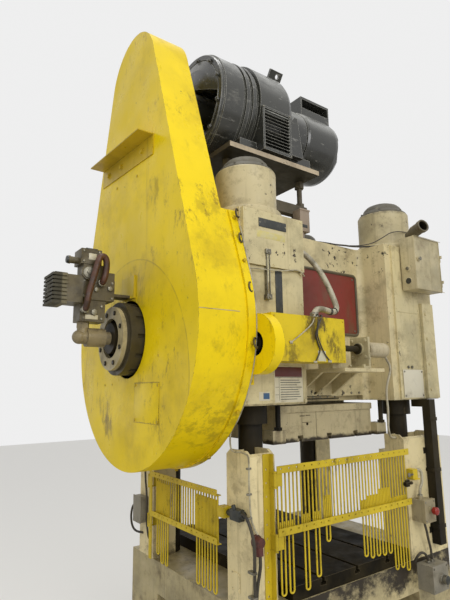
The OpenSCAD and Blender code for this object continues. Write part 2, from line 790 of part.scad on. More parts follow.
// Stand on the crown with four adjusting posts under the motor plate
module motor_stand() {
    placed() color("dimgray") for (y = [-215, 215]) {
        bar(plate_x0 + 60, plate_x1 + 10, y - 25, y + 25, stand_top - 70, stand_top);
        for (x = [plate_x0 + 290, plate_x1 - 90]) {
            bar(x, x + 60, y - 22, y + 22, crown_z1, stand_top - 69);
            bar(x - 40, x + 100, y - 25, y + 25, crown_z1, crown_z1 + 18);
        }
        for (x = [plate_x0 + 90, plate_x1 - 30]) {
            translate([x, y, stand_top - 1]) cylinder(r = 17, h = plate_z0 - stand_top + 1);
            translate([x, y, stand_top - 1]) hex(50, 24);
            translate([x, y, plate_z0 - 46]) hex(54, 46);
        }
    }
}

module motor_base_plate() {
    placed() color("tan") {
        bar(plate_x0, plate_x1, -plate_y, plate_y, plate_z0, plate_z1);
        for (y = [-270, 250]) bar(plate_x0 + 60, plate_x1 - 40, y, y + 46, plate_z1, plate_z1 + 14);
    }
}

// Motor's outline turned about its axis: domed end, ribbed shell, joint bands, barrel and neck
module motor_profile(e) {
    a = motor_x0;
    b = motor_x1;
    c = motor_x2;
    r = motor_end_r;
    translate([0, motor_y, motor_z]) rotate([0, 90, 0]) rotate_extrude($fn = 96)
        polygon([[0, a - 30], [150, a - 27], [240, a - 14], [r - 40, a + 4], [r - 36, a + 12],
                 [r - 32, a + 4], [r - 4, a + 4], [r, a + 8], [r, a + 26], [r + 9, a + 30],
                 [r + 9, b - 16], [r, b - 14], [r, b], [r + 13, b + 2], [r + 13, b + 28],
                 [r + 1, b + 30], [r + 1, b + 50], [r + 13, b + 52], [r + 13, b + 78],
                 [r + 3, b + 80], [r + 3, b + 96], [motor_r, b + 99], [motor_r, c],
                 [motor_r - 9, c + 22], [motor_r - 32, c + 46], [motor_r - 68, c + 66],
                 [motor_r - 108, c + 77], [neck_r + e, c + 80], [neck_r + e, motor_drum_x0],
                 [0, motor_drum_x0]]);
}

// Motor: profile with an arched opening in its drive end, feet on the rails and a lifting lug
module motor_body() {
    feet_z = plate_z1 + 14;
    placed() color("dimgray") difference() {
        union() {
            motor_profile(0);
            for (s = [-1, 1]) {
                bar(motor_x0 + 146, motor_x0 + 276, motor_y + s * 235 - 85, motor_y + s * 235 + 85,
                    feet_z, feet_z + 78);
                bar(motor_x2 + 34, plate_x1 - 6, motor_y + s * 265 - 55, motor_y + s * 265 + 55,
                    feet_z, feet_z + 82);
            }
            bar(motor_x2 + 50, plate_x1 - 20, motor_y - 215, motor_y + 215, feet_z, feet_z + 60);
            bar(motor_x2 + 50, plate_x1 - 40, motor_y - 110, motor_y + 110, feet_z, motor_z - 190);
            translate([0, motor_y, motor_z]) rotate([35, 0, 0]) difference() {
                bar(motor_x2 - 44, motor_x2 + 64, -8, 8, 250, motor_r + 58);
                rod_along_y(-9, 9, motor_x2 + 24, motor_r + 26, 15);
            }
        }
        // opening in the drive end, arched over the hub
        translate([motor_x0 - 31, motor_y, motor_z]) rotate([90, 0, 90]) linear_extrude(150) difference() {
            intersection() {
                circle(r = motor_end_r - 44, $fn = 64);
                polygon([[-310, -21], [-88, 82], [0, 94], [88, 82], [310, -21], [310, -400], [-310, -400]]);
            }
            circle(r = shaft_r + 60);
        }
        rod_along_x(motor_x0 - 31, motor_x0 + 140, motor_y, motor_z, shaft_r + 0.08);
    }
}

// Louvre: framed box with slanted slats against the barrel, and the tapered side plate next to it
module motor_louvre() {
    lx0 = motor_x1 + 100;
    lx1 = motor_x2 - 7;
    ly = motor_y - motor_r - 14;
    lz0 = motor_z - 345;
    lz1 = motor_z - 58;
    slats = 11;
    pitch = (lz1 - lz0 - 44) / slats;
    placed() color("dimgray") difference() {
        union() {
            difference() {
                bar(lx0, lx1, ly, ly + 180, lz0, lz1);
                bar(lx0 + 14, lx1 - 14, ly - 1, ly + 60, lz0 + 16, lz1 - 14);
            }
            for (i = [0 : slats - 1]) translate([lx0 + 10, ly + 5, lz0 + 22 + i * pitch])
                rotate([32, 0, 0]) cube([lx1 - lx0 - 20, 30, 3]);
            translate([0, ly + 54, 0]) rotate([90, 0, 0]) linear_extrude(36)
                polygon([[lx1 - 1, lz0 + 34], [motor_x2 + 110, lz0 + 34], [motor_x2 + 70, lz1 + 18],
                         [motor_x2 + 44, lz1 + 18], [lx1 - 1, lz1 - 40]]);
        }
        motor_profile(0);
    }
}

// Rear drum with a framed duct mouth on top and an opening low on its end
module motor_drum() {
    x0 = motor_drum_x0;
    x1 = x0 + drum_l;
    hood_y = motor_y - 160;
    hood_z0 = motor_z + 190;
    hood_z1 = motor_z + 322;
    placed() color("dimgray") difference() {
        union() {
            translate([0, motor_y, motor_z]) rotate([0, 90, 0]) rotate_extrude($fn = 96)
                polygon([[0, x0], [drum_r - 30, x0], [drum_r - 8, x0 + 8], [drum_r, x0 + 24],
                         [drum_r, x1 - 84], [drum_r - 8, x1 - 46], [drum_r - 30, x1 - 16],
                         [drum_r - 58, x1 - 3], [drum_r - 84, x1], [0, x1]]);
            bar(x0 + 20, x0 + 307, hood_y, motor_y + 40, motor_z + 120, hood_z1);
        }
        bar(x0 + 30, x0 + 297, hood_y - 1, motor_y + 30, hood_z0 + 45, hood_z1 - 18);
        bar(x1 - 55, x1 + 1, motor_y - drum_r - 20, motor_y - 178, motor_z - 160, motor_z + 50);
    }
}

// Drive chain of the cam shaft, a closed loop round its two sprockets
module cam_chain() {
    placed() color("gray") along_x(chain_x0 + 2, chain_x1 - chain_x0 - 4) difference() {
        chain_loop(sprocket_r + gap + chain_t);
        chain_loop(sprocket_r + gap);
    }
}

module chain_loop(r) {
    teardrop(0, crank_z, r, cam_y, cam_z, r);
}

// Crankshaft: journals in the side walls, two eccentric throws and the quill end
module crankshaft() {
    placed() color("lightsteelblue") {
        rod_along_x(shaft_end_x, -crown_x - 20, 0, crank_z, quill_r);
        web = big_end_w / 2 + 38;
        rod_along_x(-crown_x - 21, rod_x[0] - web + 1, 0, crank_z, journal_r);
        rod_along_x(rod_x[0] + web - 1, rod_x[1] - web + 1, 0, crank_z, journal_r);
        rod_along_x(rod_x[1] + web - 1, crown_x - 10, 0, crank_z, journal_r);
        rod_along_x(chain_x0, chain_x1, 0, crank_z, sprocket_r);
        for (x = rod_x) {
            rod_along_x(x - big_end_w / 2 - 6, x + big_end_w / 2 + 6, 0, crank_z + throw, crankpin_r);
            for (s = [-1, 1]) rod_along_x(x + s * (big_end_w / 2 + 22) - 16, x + s * (big_end_w / 2 + 22) + 16,
                                          0, crank_z + throw * 0.4, crankpin_r + 34);
        }
    }
}

// Connecting rods: ring round each throw, tapering shank and a round foot
module connecting_rods() {
    placed() color("silver") for (x = rod_x) difference() {
        union() {
            rod_along_x(x - big_end_w / 2, x + big_end_w / 2, 0, crank_z + throw, big_end_r);
            along_x(x - 30, 60) polygon([[-70, crank_z + throw - 100], [70, crank_z + throw - 100],
                [38, crank_z + throw - rod_len], [-38, crank_z + throw - rod_len]]);
            rod_along_x(x - 36, x + 36, 0, crank_z + throw - rod_len, rod_end_r);
        }
        rod_along_x(x - big_end_w / 2 - 1, x + big_end_w / 2 + 1, 0, crank_z + throw,
                    crankpin_r + run_fit);
    }
}

module main_bearings() {
    placed() color("darkgoldenrod") for (x = [bulkhead_x0, crown_x - bearing_l]) difference() {
        rod_along_x(x, x + bearing_l, 0, crank_z, journal_r + bearing_wall);
        rod_along_x(x - 1, x + bearing_l + 1, 0, crank_z, journal_r + run_fit);
    }
}

// Slide: ribbed block with a top flange, and a neck that the gibs guide
module slide() {
    flange_h = 36;
    flange_out = 10;
    placed() color("wheat") difference() {
        union() {
            bar(slide_x - slide_w / 2, slide_x + slide_w / 2, -slide_d / 2, slide_d / 2,
                slide_z0, slide_z1 - flange_h + 1);
            bar(slide_x - slide_w / 2 - 2, slide_x + slide_w / 2 + 2, -slide_d / 2 - flange_out,
                slide_d / 2 + flange_out, slide_z1 - flange_h, slide_z1);
            bar(slide_x - neck_w / 2, slide_x + neck_w / 2, -neck_d / 2, neck_d / 2,
                slide_z1 - 1, neck_top);
            for (s = [0, 1]) bar(s > 0 ? slide_x + slide_w / 2 - 1 : guide_rod_x[0] - 40,
                                 s > 0 ? guide_rod_x[1] + 40 : slide_x - slide_w / 2 + 1,
                                 guide_rod_y - 4, guide_rod_y + 80, slide_z0 + 4, slide_z0 + 74);
        }
        for (x = rod_x) bar(x - 52, x + 52, -pocket_r, pocket_r, slide_z1 - 110, neck_top + 1);
        // T-slots in the die face
        for (i = [-1 : 1]) translate([slide_x + i * 230, 0, 0]) {
            bar(-11, 11, -slide_d / 2 - 20, slide_d / 2 + 20, slide_z0 - 1, slide_z0 + 34);
            bar(-20, 20, -slide_d / 2 - 20, slide_d / 2 + 20, slide_z0 + 17, slide_z0 + 34);
        }
        for (x = rod_x) translate([x, 0, slide_z0 + 50]) cylinder(r = 26.5, h = slide_h);
    }
}

// Gibs: flat guide bars bolted in the crown's mouth, one on each side of the neck
module slide_gibs() {
    placed() color("goldenrod") {
        for (s = [-1, 1]) {
            gx = slide_x + s * (neck_w / 2 + gap + (gib_t - gap) / 2);
            translate([gx, 0, (crown_z0 + cavity_z0) / 2 + 35])
                cube([gib_t - gap, 380, 60 + 70], center = true);
            gy = s * (neck_d / 2 + gap + (gib_t - gap) / 2);
            translate([slide_x, gy, (crown_z0 + cavity_z0) / 2 + 35])
                cube([420, gib_t - gap, 60 + 70], center = true);
        }
    }
}

// Adjusting screws: each stands in the slide under a connecting rod
module adjusting_screws() {
    placed() color("silver") for (x = rod_x) {
        translate([x, 0, slide_z0 + 50]) cylinder(r = 26.4, h = slide_h - 160);
        translate([x, 0, slide_z1 - 110]) hex(60, 30);
    }
}

// Cover of the cam box: folded sheet, open at the back, with a shaft hole in each end
module cam_box_cover() {
    t = 3;
    gland = hose_route[len(hose_route) - 1];
    placed() color("gold") translate([gland[0], gland[1], box_z1 - 1]) cylinder(r = hose_out_r + 7, h = 9);
    placed() color("gold") difference() {
        bar(disc_x1 + gap, box_x1, box_y0, -crown_y - 13, box_z0, box_z1);
        bar(disc_x1 + gap + t, box_x1 - t, box_y0 + t, -crown_y - 12, box_z0 + t, box_z1 - t);
        rod_along_x(disc_x1 - 1, disc_x1 + 10, cam_y, cam_z, cam_r + 12);
        rod_along_x(box_x1 - 10, box_x1 + 1, cam_y, cam_z, cam_r + 6);
    }
}

// Disc guard round the cam drive pulley, straight back to the crown
module disc_guard() {
    t = 4;
    placed() color("gold") difference() {
        union() {
            intersection() {
                rod_along_x(disc_x0, disc_x1, cam_y, cam_z, disc_r);
                bar(disc_x0, disc_x1, cam_y - disc_r, -crown_y - 13, cam_z - disc_r, cam_z + disc_r);
            }
            bar(disc_x0, disc_x1, cam_y, -crown_y - 13, cam_z - disc_r, cam_z + disc_r);
            bar(disc_x0, disc_x0 + 40, -crown_y - 34, -crown_y - 13, cam_z + disc_r - 1, cam_z + disc_r + 46);
            bar(disc_x0, disc_x0 + 40, -crown_y - 34, -crown_y - 13, cam_z - disc_r - 46, cam_z - disc_r + 1);
        }
        intersection() {
            union() {
                rod_along_x(disc_x0 + t, disc_x1 - t, cam_y, cam_z, disc_r - t);
                bar(disc_x0 + t, disc_x1 - t, cam_y, -crown_y, cam_z - disc_r + t, cam_z + disc_r - t);
            }
            bar(disc_x0, disc_x1, -2000, -crown_y - 12, cam_z - disc_r + t, cam_z + disc_r - t);
        }
        rod_along_x(disc_x0 - 1, disc_x0 + t + 1, cam_y, cam_z, 56);
        rod_along_x(disc_x1 - t - 1, disc_x1 + 1, cam_y, cam_z, cam_r + 12);
    }
}

// Cam shaft with its drive pulley and four switch cams
module cam_shaft() {
    cams = 4;
    placed() color("dimgray") {
        rod_along_x(disc_x0 + 6, bracket_x + 20, cam_y, cam_z, cam_r);
        rod_along_x(chain_x0, chain_x1, cam_y, cam_z, sprocket_r);
        rod_along_x(disc_x0 + 6, chain_x0 + 1, cam_y, cam_z, 34);
        for (i = [0 : cams - 1]) rod_along_x(-600 + 90 * i, -582 + 90 * i, cam_y, cam_z, 46 + 3 * (i % 2));
    }
}

// Bearing bracket: upright plate on the shelf with a flanged bearing and a foot
module cam_bearing_bracket() {
    t = 15;
    top = cam_z + 62;
    placed() color("wheat") difference() {
        union() {
            bar(bracket_x, bracket_x + t, cam_y - 62, cam_y + 58, shelf_z, top);
            rod_along_x(bracket_x - 12, bracket_x + 1, cam_y, cam_z, 34);
            bar(bracket_x - 40, bracket_x + 1, cam_y - 60, cam_y + 50, shelf_z, shelf_z + 12);
        }
        rod_along_x(bracket_x - 13, bracket_x + t + 1, cam_y, cam_z, cam_r + run_fit);
    }
}

// Encoder: white cylinder on the far side of the bracket, with a plug on its end
module encoder() {
    ex0 = bracket_x + 15;
    placed() color("white") {
        difference() {
            rod_along_x(ex0, ex0 + 40, cam_y, cam_z, 30);
            rod_along_x(ex0 - 1, ex0 + 12, cam_y, cam_z, cam_r + 2);
        }
        rod_along_x(ex0 + 39, ex0 + 196, cam_y, cam_z, 41);
        translate([ex0 + 206, cam_y, cam_z - 24]) cylinder(r = 9, h = 48);
        rod_along_x(ex0 + 195, ex0 + 206, cam_y, cam_z, 12);
    }
}

// Perforated post of the front gate with its hinge pins, and the pins of the side gate
module gate_posts() {
    post_w = 42;
    wall = 4;
    x0 = gate_x0 - post_w - 6;
    z1 = upright_top - 16;
    placed() color("gold") difference() {
        union() {
            bar(x0, x0 + post_w, -bed_y - wall, -bed_y, foot_h + 60, z1);
            bar(x0 + post_w - wall, x0 + post_w, -bed_y - 30, -bed_y, foot_h + 60, z1);
        }
        for (z = [foot_h + 90 : 60 : z1 - 20]) rod_along_y(-bed_y - wall - 1, -bed_y + 1, x0 + 18, z, 5);
    }
    hinge_pins();
}

module hinge_pins() {
    low = gate_z - gate_rail_gap;
    slow = side_z - side_rail_gap;
    placed() color("gold") {
        for (z = [gate_z - 60, low - 60]) {
            translate([hinge_x, gate_y - rail_t + 7, z - 38]) cylinder(r = 4, h = 76);
            for (dz = [-38, 31]) {
                translate([hinge_x, gate_y - rail_t + 7, z + dz]) cylinder(r = 8, h = 7);
                bar(hinge_x - 6, hinge_x + 2, gate_y - rail_t + 10, -bed_y - 3, z + dz, z + dz + 7);
            }
        }
        for (z = [side_z - 60, slow - 60]) {
            translate([side_x - rail_t + 8, side_hinge_y, z - 38]) cylinder(r = 4, h = 76);
            for (dz = [-38, 31]) {
                translate([side_x - rail_t + 8, side_hinge_y, z + dz]) cylinder(r = 8, h = 7);
                bar(side_x - rail_t + 8, -bed_x + 30, side_hinge_y, side_hinge_y + 8, z + dz, z + dz + 7);
            }
            bar(-bed_x - 6, -bed_x + 30, side_hinge_y + 2, side_hinge_y + 8, z - 38, z + 38);
        }
    }
}

// One rail: angle strip, its front face pierced by a row of holes
module front_rail(z1) {
    wall = 4;
    n = floor((gate_x1 - gate_x0 - 40) / 50);
    difference() {
        union() {
            bar(gate_x0, gate_x1, gate_y - rail_t, gate_y - rail_t + wall, z1 - rail_h, z1);
            bar(gate_x0, gate_x1, gate_y - rail_t, gate_y + 6, z1 - rail_h, z1 - rail_h + wall);
        }
        for (i = [0 : n]) rod_along_y(gate_y - rail_t - 1, gate_y - rail_t + wall + 1,
                                      gate_x0 + 25 + i * 50, z1 - rail_h / 2 + 3, 4);
        if (z1 < gate_z) for (x = front_legs) translate([x, gate_y - 4, z1 - rail_h - 1])
            cylinder(r = rod_r + leg_gap, h = rail_h + 2, $fn = 16);
    }
}

// Front gate: two perforated rails, fixed rods between them, and hinge knuckles on the left
module front_gate() {
    low = gate_z - gate_rail_gap;
    n = floor((gate_x1 - gate_x0 - 30) / rod_pitch);
    placed() color("gold") {
        front_rail(gate_z);
        front_rail(low);
        for (i = [0 : n]) translate([gate_x0 + 14 + i * rod_pitch, gate_y - 4, low - rail_h + 2])
            cylinder(r = rod_r, h = gate_z - low + 4, $fn = 16);
        for (z = [gate_z - 60, low - 60]) {
            bar(gate_x0 + 2, gate_x0 + 34, gate_y - rail_t + 4, gate_y - rail_t + 10, z - 30, z + 36);
            difference() {
                translate([hinge_x, gate_y - rail_t + 7, z - 30]) cylinder(r = 8, h = 60);
                translate([hinge_x, gate_y - rail_t + 7, z - 31]) cylinder(r = 4 + run_fit, h = 62);
            }
            bar(hinge_x + 5, gate_x0 + 4, gate_y - rail_t + 4, gate_y - rail_t + 10, z - 30, z + 30);
        }
    }
}

// A hairpin: two legs and a round bottom, hanging from the lower rail
module hairpin(w, top, bottom) {
    translate([0, 0, bottom + w / 2]) {
        for (s = [-1, 1]) translate([s * w / 2, 0, 0])
            cylinder(r = rod_r, h = top - bottom - w / 2, $fn = 16);
        rotate([90, 0, 0]) rotate([0, 0, 180]) rotate_extrude(angle = 180, $fn = 24)
            translate([w / 2, 0]) circle(r = rod_r, $fn = 16);
    }
}

// Hanging hairpins of the front gate, in groups: [first place, count, top, bottom]
front_groups = [[0, 2, 1086, 776], [6, 1, 1100, 768], [9, 1, 1100, 808],
                [12, 1, 1164, 951], [23, 1, 1104, 828], [25, 2, 1120, 812], [29, 2, 1143, 806],
                [33, 2, 1085, 714], [37, 1, 1085, 690]];

front_legs = [for (g = front_groups, i = [0 : g[1] - 1], s = [-1, 1])
    gate_x0 + 14 + rod_pitch * (g[0] + 2 * i + 1 + s / 2)];
leg_gap = 0.05;

module front_gate_hairpins() {
    placed() color("gold") for (g = front_groups, i = [0 : g[1] - 1])
        translate([gate_x0 + 14 + rod_pitch * (g[0] + 2 * i + 1), gate_y - 4, 0])
            hairpin(rod_pitch, g[2] + (gate_z - 1336), g[3] + (gate_z - 1336));
}

module side_rail(z1) {
    wall = 4;
    n = floor((side_y1 - side_y0 - 40) / 50);
    difference() {
        union() {
            bar(side_x - rail_t, side_x - rail_t + wall, side_y0, side_y1, z1 - rail_h + 4, z1);
            bar(side_x - rail_t, side_x + 6, side_y0, side_y1, z1 - rail_h + 4, z1 - rail_h + 8);
        }
        for (i = [0 : n]) rod_along_x(side_x - rail_t - 1, side_x - rail_t + wall + 1,
                                      side_y0 + 25 + i * 50, z1 - rail_h / 2 + 5, 4);
        if (z1 < side_z) for (y = side_legs) translate([side_x - 4, y, z1 - rail_h])
            cylinder(r = rod_r + leg_gap, h = rail_h + 1, $fn = 16);
    }
}

// Side gate: rails and rods as on the front gate, with a rear post that carries the knuckles
module side_gate() {
    low = side_z - side_rail_gap;
    n = floor((side_y1 - side_y0 - 60) / rod_pitch);
    placed() color("gold") {
        side_rail(side_z);
        side_rail(low);
        bar(side_x - rail_t, side_x - rail_t + 5, side_y1 - 26, side_y1 + 4, bed_top + 20, side_z);
        for (i = [0 : n]) translate([side_x - 4, side_y0 + 14 + i * rod_pitch, low - rail_h + 6])
            cylinder(r = rod_r, h = side_z - low + 2, $fn = 16);
        for (z = [side_z - 60, low - 60]) {
            difference() {
                translate([side_x - rail_t + 8, side_hinge_y, z - 30]) cylinder(r = 8, h = 60);
                translate([side_x - rail_t + 8, side_hinge_y, z - 31]) cylinder(r = 4 + run_fit, h = 62);
            }
            bar(side_x - rail_t, side_x - rail_t + 5, side_y1, side_hinge_y - 4, z - 30, z + 30);
        }
    }
}

side_groups = [[0, 4, 1163, 744], [19, 2, 1160, 737], [23, 1, 1165, 773]];
side_legs = [for (g = side_groups, i = [0 : g[1] - 1], s = [-1, 1])
    side_y0 + 14 + rod_pitch * (g[0] + 2 * i + 1 + s / 2)];

module side_gate_hairpins() {
    placed() color("gold") for (g = side_groups, i = [0 : g[1] - 1])
        translate([side_x - 4, side_y0 + 14 + rod_pitch * (g[0] + 2 * i + 1), 0])
            rotate([0, 0, 90])
                hairpin(rod_pitch, g[2] + (side_z - 1215), g[3] + (side_z - 1215));
}

// Safety switches beside the free ends of the two gates
module interlock_switches() {
    placed() color("gold") {
        bar(bed_x - upright_wide + 4, bed_x - upright_wide + 50, -bed_y - 44, -bed_y, 1162, 1214);
        bar(-bed_x - 44, -bed_x, side_y0 - 60, side_y0 - 8, 1098, 1146);
    }
}

stop_x0 = bed_x - 344;
stop_z0 = 925;
stop_w = 100;
stop_h = 120;
stop_d = 88;
button_gap = 0.08;

module box_with_lid(x0, w, y0, y1, z0, h, lid) {
    bar(x0, x0 + w, y0 + lid, y1, z0, z0 + h);
    bar(x0 - 2, x0 + w + 2, y0, y0 + lid, z0 - 2, z0 + h + 2);
}

// Stop button box on the front of the right upright
module stop_box() {
    y0 = -bed_y - stop_d;
    placed() color("beige") difference() {
        union() {
            box_with_lid(stop_x0, stop_w, y0, -bed_y, stop_z0, stop_h, 20);
            rod_along_y(y0 - 12, y0 + 1, stop_x0 + stop_w / 2, stop_z0 + 66, 19);
            translate([stop_x0 + 34, -bed_y - 40, stop_z0 + stop_h + 2]) cylinder(r = 14, h = 20);
            translate([stop_x0 + 34, -bed_y - 40, stop_z0 + stop_h - 1]) cylinder(r = 17, h = 9);
        }
        rod_along_y(y0 - 13, y0 + 41, stop_x0 + stop_w / 2, stop_z0 + 66, 8 + button_gap);
    }
}

module stop_button() {
    y0 = -bed_y - stop_d;
    placed() color("firebrick") {
        rod_along_y(y0 - 24, y0 + 30, stop_x0 + stop_w / 2, stop_z0 + 66, 8);
        rod_along_y(y0 - 42, y0 - 23, stop_x0 + stop_w / 2, stop_z0 + 66, 21);
    }
}

palm_x0 = bed_x - 333;
palm_z0 = 558;
palm_w = 145;
palm_h = 137;
palm_d = 100;

module palm_box() {
    y0 = -bed_y - palm_d;
    placed() color("lightgray") difference() {
        union() {
            box_with_lid(palm_x0, palm_w, y0, -bed_y, palm_z0, palm_h, 26);
            rod_along_y(y0 - 14, y0 + 1, palm_x0 + palm_w / 2 + 6, palm_z0 + 66, 27);
        }
        rod_along_y(y0 - 15, y0 + 41, palm_x0 + palm_w / 2 + 6, palm_z0 + 66, 12 + button_gap);
    }
}

module palm_button() {
    y0 = -bed_y - palm_d;
    placed() color("black") {
        rod_along_y(y0 - 22, y0 + 26, palm_x0 + palm_w / 2 + 6, palm_z0 + 66, 12);
        rod_along_y(y0 - 38, y0 - 21, palm_x0 + palm_w / 2 + 6, palm_z0 + 66, 24);
    }
}

ctl_x0 = crown_x - 330;
ctl_x1 = crown_x - 50;
ctl_z0 = crown_z1 - 294;
ctl_z1 = crown_z1 + 44;
ctl_d = 124;
ctl_hinge = 7;

// Electrical box on the right pier, with two knockouts in its left side
module control_box() {
    y0 = -crown_y - ctl_d + 10;
    t = 3;
    placed() color("wheat") difference() {
        union() {
            bar(ctl_x0, ctl_x1, y0, -crown_y - 12, ctl_z0, ctl_z1);
            for (z = [ctl_z0 + 60, ctl_z1 - 110])
                translate([ctl_x1 + ctl_hinge, y0 - 3, z]) cylinder(r = 6, h = 18);
            for (z = [ctl_z0 + 60, ctl_z1 - 110])
                bar(ctl_x1 - 1, ctl_x1 + ctl_hinge, y0 + 1, y0 + 4, z, z + 18);
            // open pipe stub over the box
            translate([ctl_x0 + 30, -crown_y - 70, ctl_z1 - 1]) cylinder(r = 17, h = 21);
            translate([ctl_x0 + 30, -crown_y - 70, ctl_z1 + 20]) sphere(r = 19);
            translate([ctl_x0 + 30, -crown_y - 70, ctl_z1 + 20]) rotate([0, 58, -20]) cylinder(r = 16, h = 90);
            translate([ctl_x0 + 30, -crown_y - 70, ctl_z1 + 20]) rotate([0, 58, -20])
                translate([0, 0, 40]) cylinder(r = 30, h = 64);
        }
        bar(ctl_x0 + t, ctl_x1 - t, y0 - 1, -crown_y - 16, ctl_z0 + t, ctl_z1 - t);
        rod_along_x(ctl_x0 - 1, ctl_x0 + t + 1, y0 + 56, ctl_z0 + 62, 17);
        translate([ctl_x0 + 30, -crown_y - 70, ctl_z1 + 20]) rotate([0, 58, -20])
            translate([0, 0, 50]) cylinder(r = 25, h = 60);
        for (z = [ctl_z0 + 60, ctl_z1 - 110])
            translate([ctl_x1 + ctl_hinge, y0 - 3, z - 1]) cylinder(r = 3 + run_fit, h = 20);
    }
}

// Door of the electrical box, hinged on the right, with knuckles, pins and a lock
module control_door() {
    y0 = -crown_y - ctl_d + 10;
    placed() color("wheat") {
        bar(ctl_x0 - 2, ctl_x1 + 1, y0 - 6, y0 - gap, ctl_z0 - 2, ctl_z1 + 2);
        rod_along_y(y0 - 14, y0 - 5, ctl_x0 + 34, ctl_z0 + 190, 15);
        for (z = [ctl_z0 + 60, ctl_z1 - 110]) {
            translate([ctl_x1 + ctl_hinge, y0 - 3, z - 24]) cylinder(r = 6, h = 23.5);
            translate([ctl_x1 + ctl_hinge, y0 - 3, z - 24]) cylinder(r = 3, h = 44);
            bar(ctl_x1, ctl_x1 + ctl_hinge, y0 - 6, y0 - 3, z - 24, z - 0.5);
        }
    }
}

// Square cable duct from under the crown down the right upright
module riser_pipe() {
    x0 = bed_x - 164;
    x1 = bed_x - 104;
    y0 = -bed_y - 56;
    z0 = 770;
    placed() color("dimgray") difference() {
        union() {
            bar(x0, x1, y0, -bed_y - 4, z0, crown_z0);
            bar(x0, x1, y0, max(y0 + 50, -crown_y + 70), crown_z0 - 46, crown_z0);
            for (z = [z0 + 60, upright_top - 120]) bar(x0 - 18, x1 + 18, -bed_y - 5, -bed_y, z, z + 34);
        }
        bar(x0 + 4, x1 - 4, y0 + 4, -bed_y - 8, z0 - 1, crown_z0 - 4);
    }
}

// Route of the flexible conduit, from the back of the left pier to the cam box
hose_route = [[-394.7, -470, 2478], [-386, -470, 2478], [-378, -470, 2478], [-342, -487, 2468], [-296, -518, 2438],
    [-250, -548, 2384], [-208, -574, 2312], [-178, -594, 2236], [-160, -610, 2168],
    [-158, -622, 2126], [-182, -634, 2100], [-226, -646, 2090], [-276, -658, 2092],
    [-326, -668, 2094], [-366, -674, 2086], [-384, -675, 2068], [-388, -675, 2056],
    [-388, -675, 2049], [-388, -675, 2043.3]];
hose_out_r = 17;

function mix(a, b, t) = a * (1 - t) + b * t;

// Smooth curve through the route, k steps on each stretch
function smooth(p, k) = let (n = len(p)) concat([for (i = [0 : n - 2], j = [0 : k - 1])
    let (t = j / k, p0 = p[max(i - 1, 0)], p1 = p[i], p2 = p[i + 1], p3 = p[min(i + 2, n - 1)])
        0.5 * (2 * p1 + (p2 - p0) * t + (2 * p0 - 5 * p1 + 4 * p2 - p3) * t * t
            + (3 * p1 - p0 - 3 * p2 + p3) * t * t * t)], [p[n - 1]]);

module conduit_hose() {
    placed() color("lightgray") tube(smooth(hose_route, 3), hose_out_r, 10);
}

bed();
bolster();
levelling_feet();
upright_front_left();
upright_front_right();
rear_uprights();
slide_guide_rods();
column_sleeves();
tie_rods();
tie_rod_nuts();
crown();
tie_rod_turrets();
turret_caps();
pier_covers();
nameplate_frame();
nameplate();
cam_shelf();
drive_guard();
guard_bolts();
angle_bracket();
flywheel();
clutch_drum();
clutch_ring();
rotary_union();
valve_body();
valve_silencer();
valve_hose();
v_belts();
motor_sheave();
motor_stand();
motor_base_plate();
motor_body();
motor_louvre();
motor_drum();
cam_chain();
crankshaft();
connecting_rods();
main_bearings();
slide();
slide_gibs();
adjusting_screws();
cam_box_cover();
disc_guard();
cam_shaft();
cam_bearing_bracket();
encoder();
gate_posts();
front_gate();
front_gate_hairpins();
side_gate();
side_gate_hairpins();
interlock_switches();
stop_box();
stop_button();
palm_box();
palm_button();
control_box();
control_door();
riser_pipe();
conduit_hose();
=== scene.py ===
import math

import bmesh
import bpy
from mathutils import Matrix, Vector


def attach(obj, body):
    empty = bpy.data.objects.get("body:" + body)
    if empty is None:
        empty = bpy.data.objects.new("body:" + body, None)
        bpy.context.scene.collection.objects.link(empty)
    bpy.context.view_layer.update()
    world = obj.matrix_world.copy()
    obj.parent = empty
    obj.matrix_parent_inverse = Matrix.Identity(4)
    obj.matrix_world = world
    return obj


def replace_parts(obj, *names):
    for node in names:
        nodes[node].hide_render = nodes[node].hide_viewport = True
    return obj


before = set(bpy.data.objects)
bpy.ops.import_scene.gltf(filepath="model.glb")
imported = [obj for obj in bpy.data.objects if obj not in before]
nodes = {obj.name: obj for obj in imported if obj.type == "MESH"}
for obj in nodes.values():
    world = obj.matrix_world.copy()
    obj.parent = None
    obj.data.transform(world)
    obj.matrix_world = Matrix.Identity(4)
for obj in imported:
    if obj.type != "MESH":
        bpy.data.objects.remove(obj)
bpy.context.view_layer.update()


# Camera: held at eye height to the left of the press, turned towards it and tipped up.
# Places are given in millimetres from the middle of the bed, on the floor.
def at(x, y, z):
    bed_x, bed_y = 367.65, 48.5
    return Vector(((x + bed_x) / 1000, (y + bed_y) / 1000, z / 1000))


yaw = math.radians(35.6)
pitch = math.radians(10.2)
roll = math.radians(-0.62)
ahead = Vector((math.sin(yaw) * math.cos(pitch), math.cos(yaw) * math.cos(pitch), math.sin(pitch)))
right = Vector((math.cos(yaw), -math.sin(yaw), 0))
upward = right.cross(ahead)
right, upward = (right * math.cos(roll) + upward * math.sin(roll),
                 upward * math.cos(roll) - right * math.sin(roll))
focal_pixels, picture_height = 482, 600
lens = bpy.data.cameras.new("camera")
lens.sensor_fit = "VERTICAL"
lens.sensor_height = 36
lens.lens = focal_pixels / picture_height * lens.sensor_height
lens.clip_end = 60
camera = bpy.data.objects.new("camera", lens)
bpy.context.collection.objects.link(camera)
camera.matrix_world = (Matrix.Translation(at(-2185, -2400, 1700))
                       @ Matrix((right, upward, -ahead)).transposed().to_4x4())
bpy.context.scene.camera = camera
bpy.context.scene.view_settings.view_transform = "Standard"


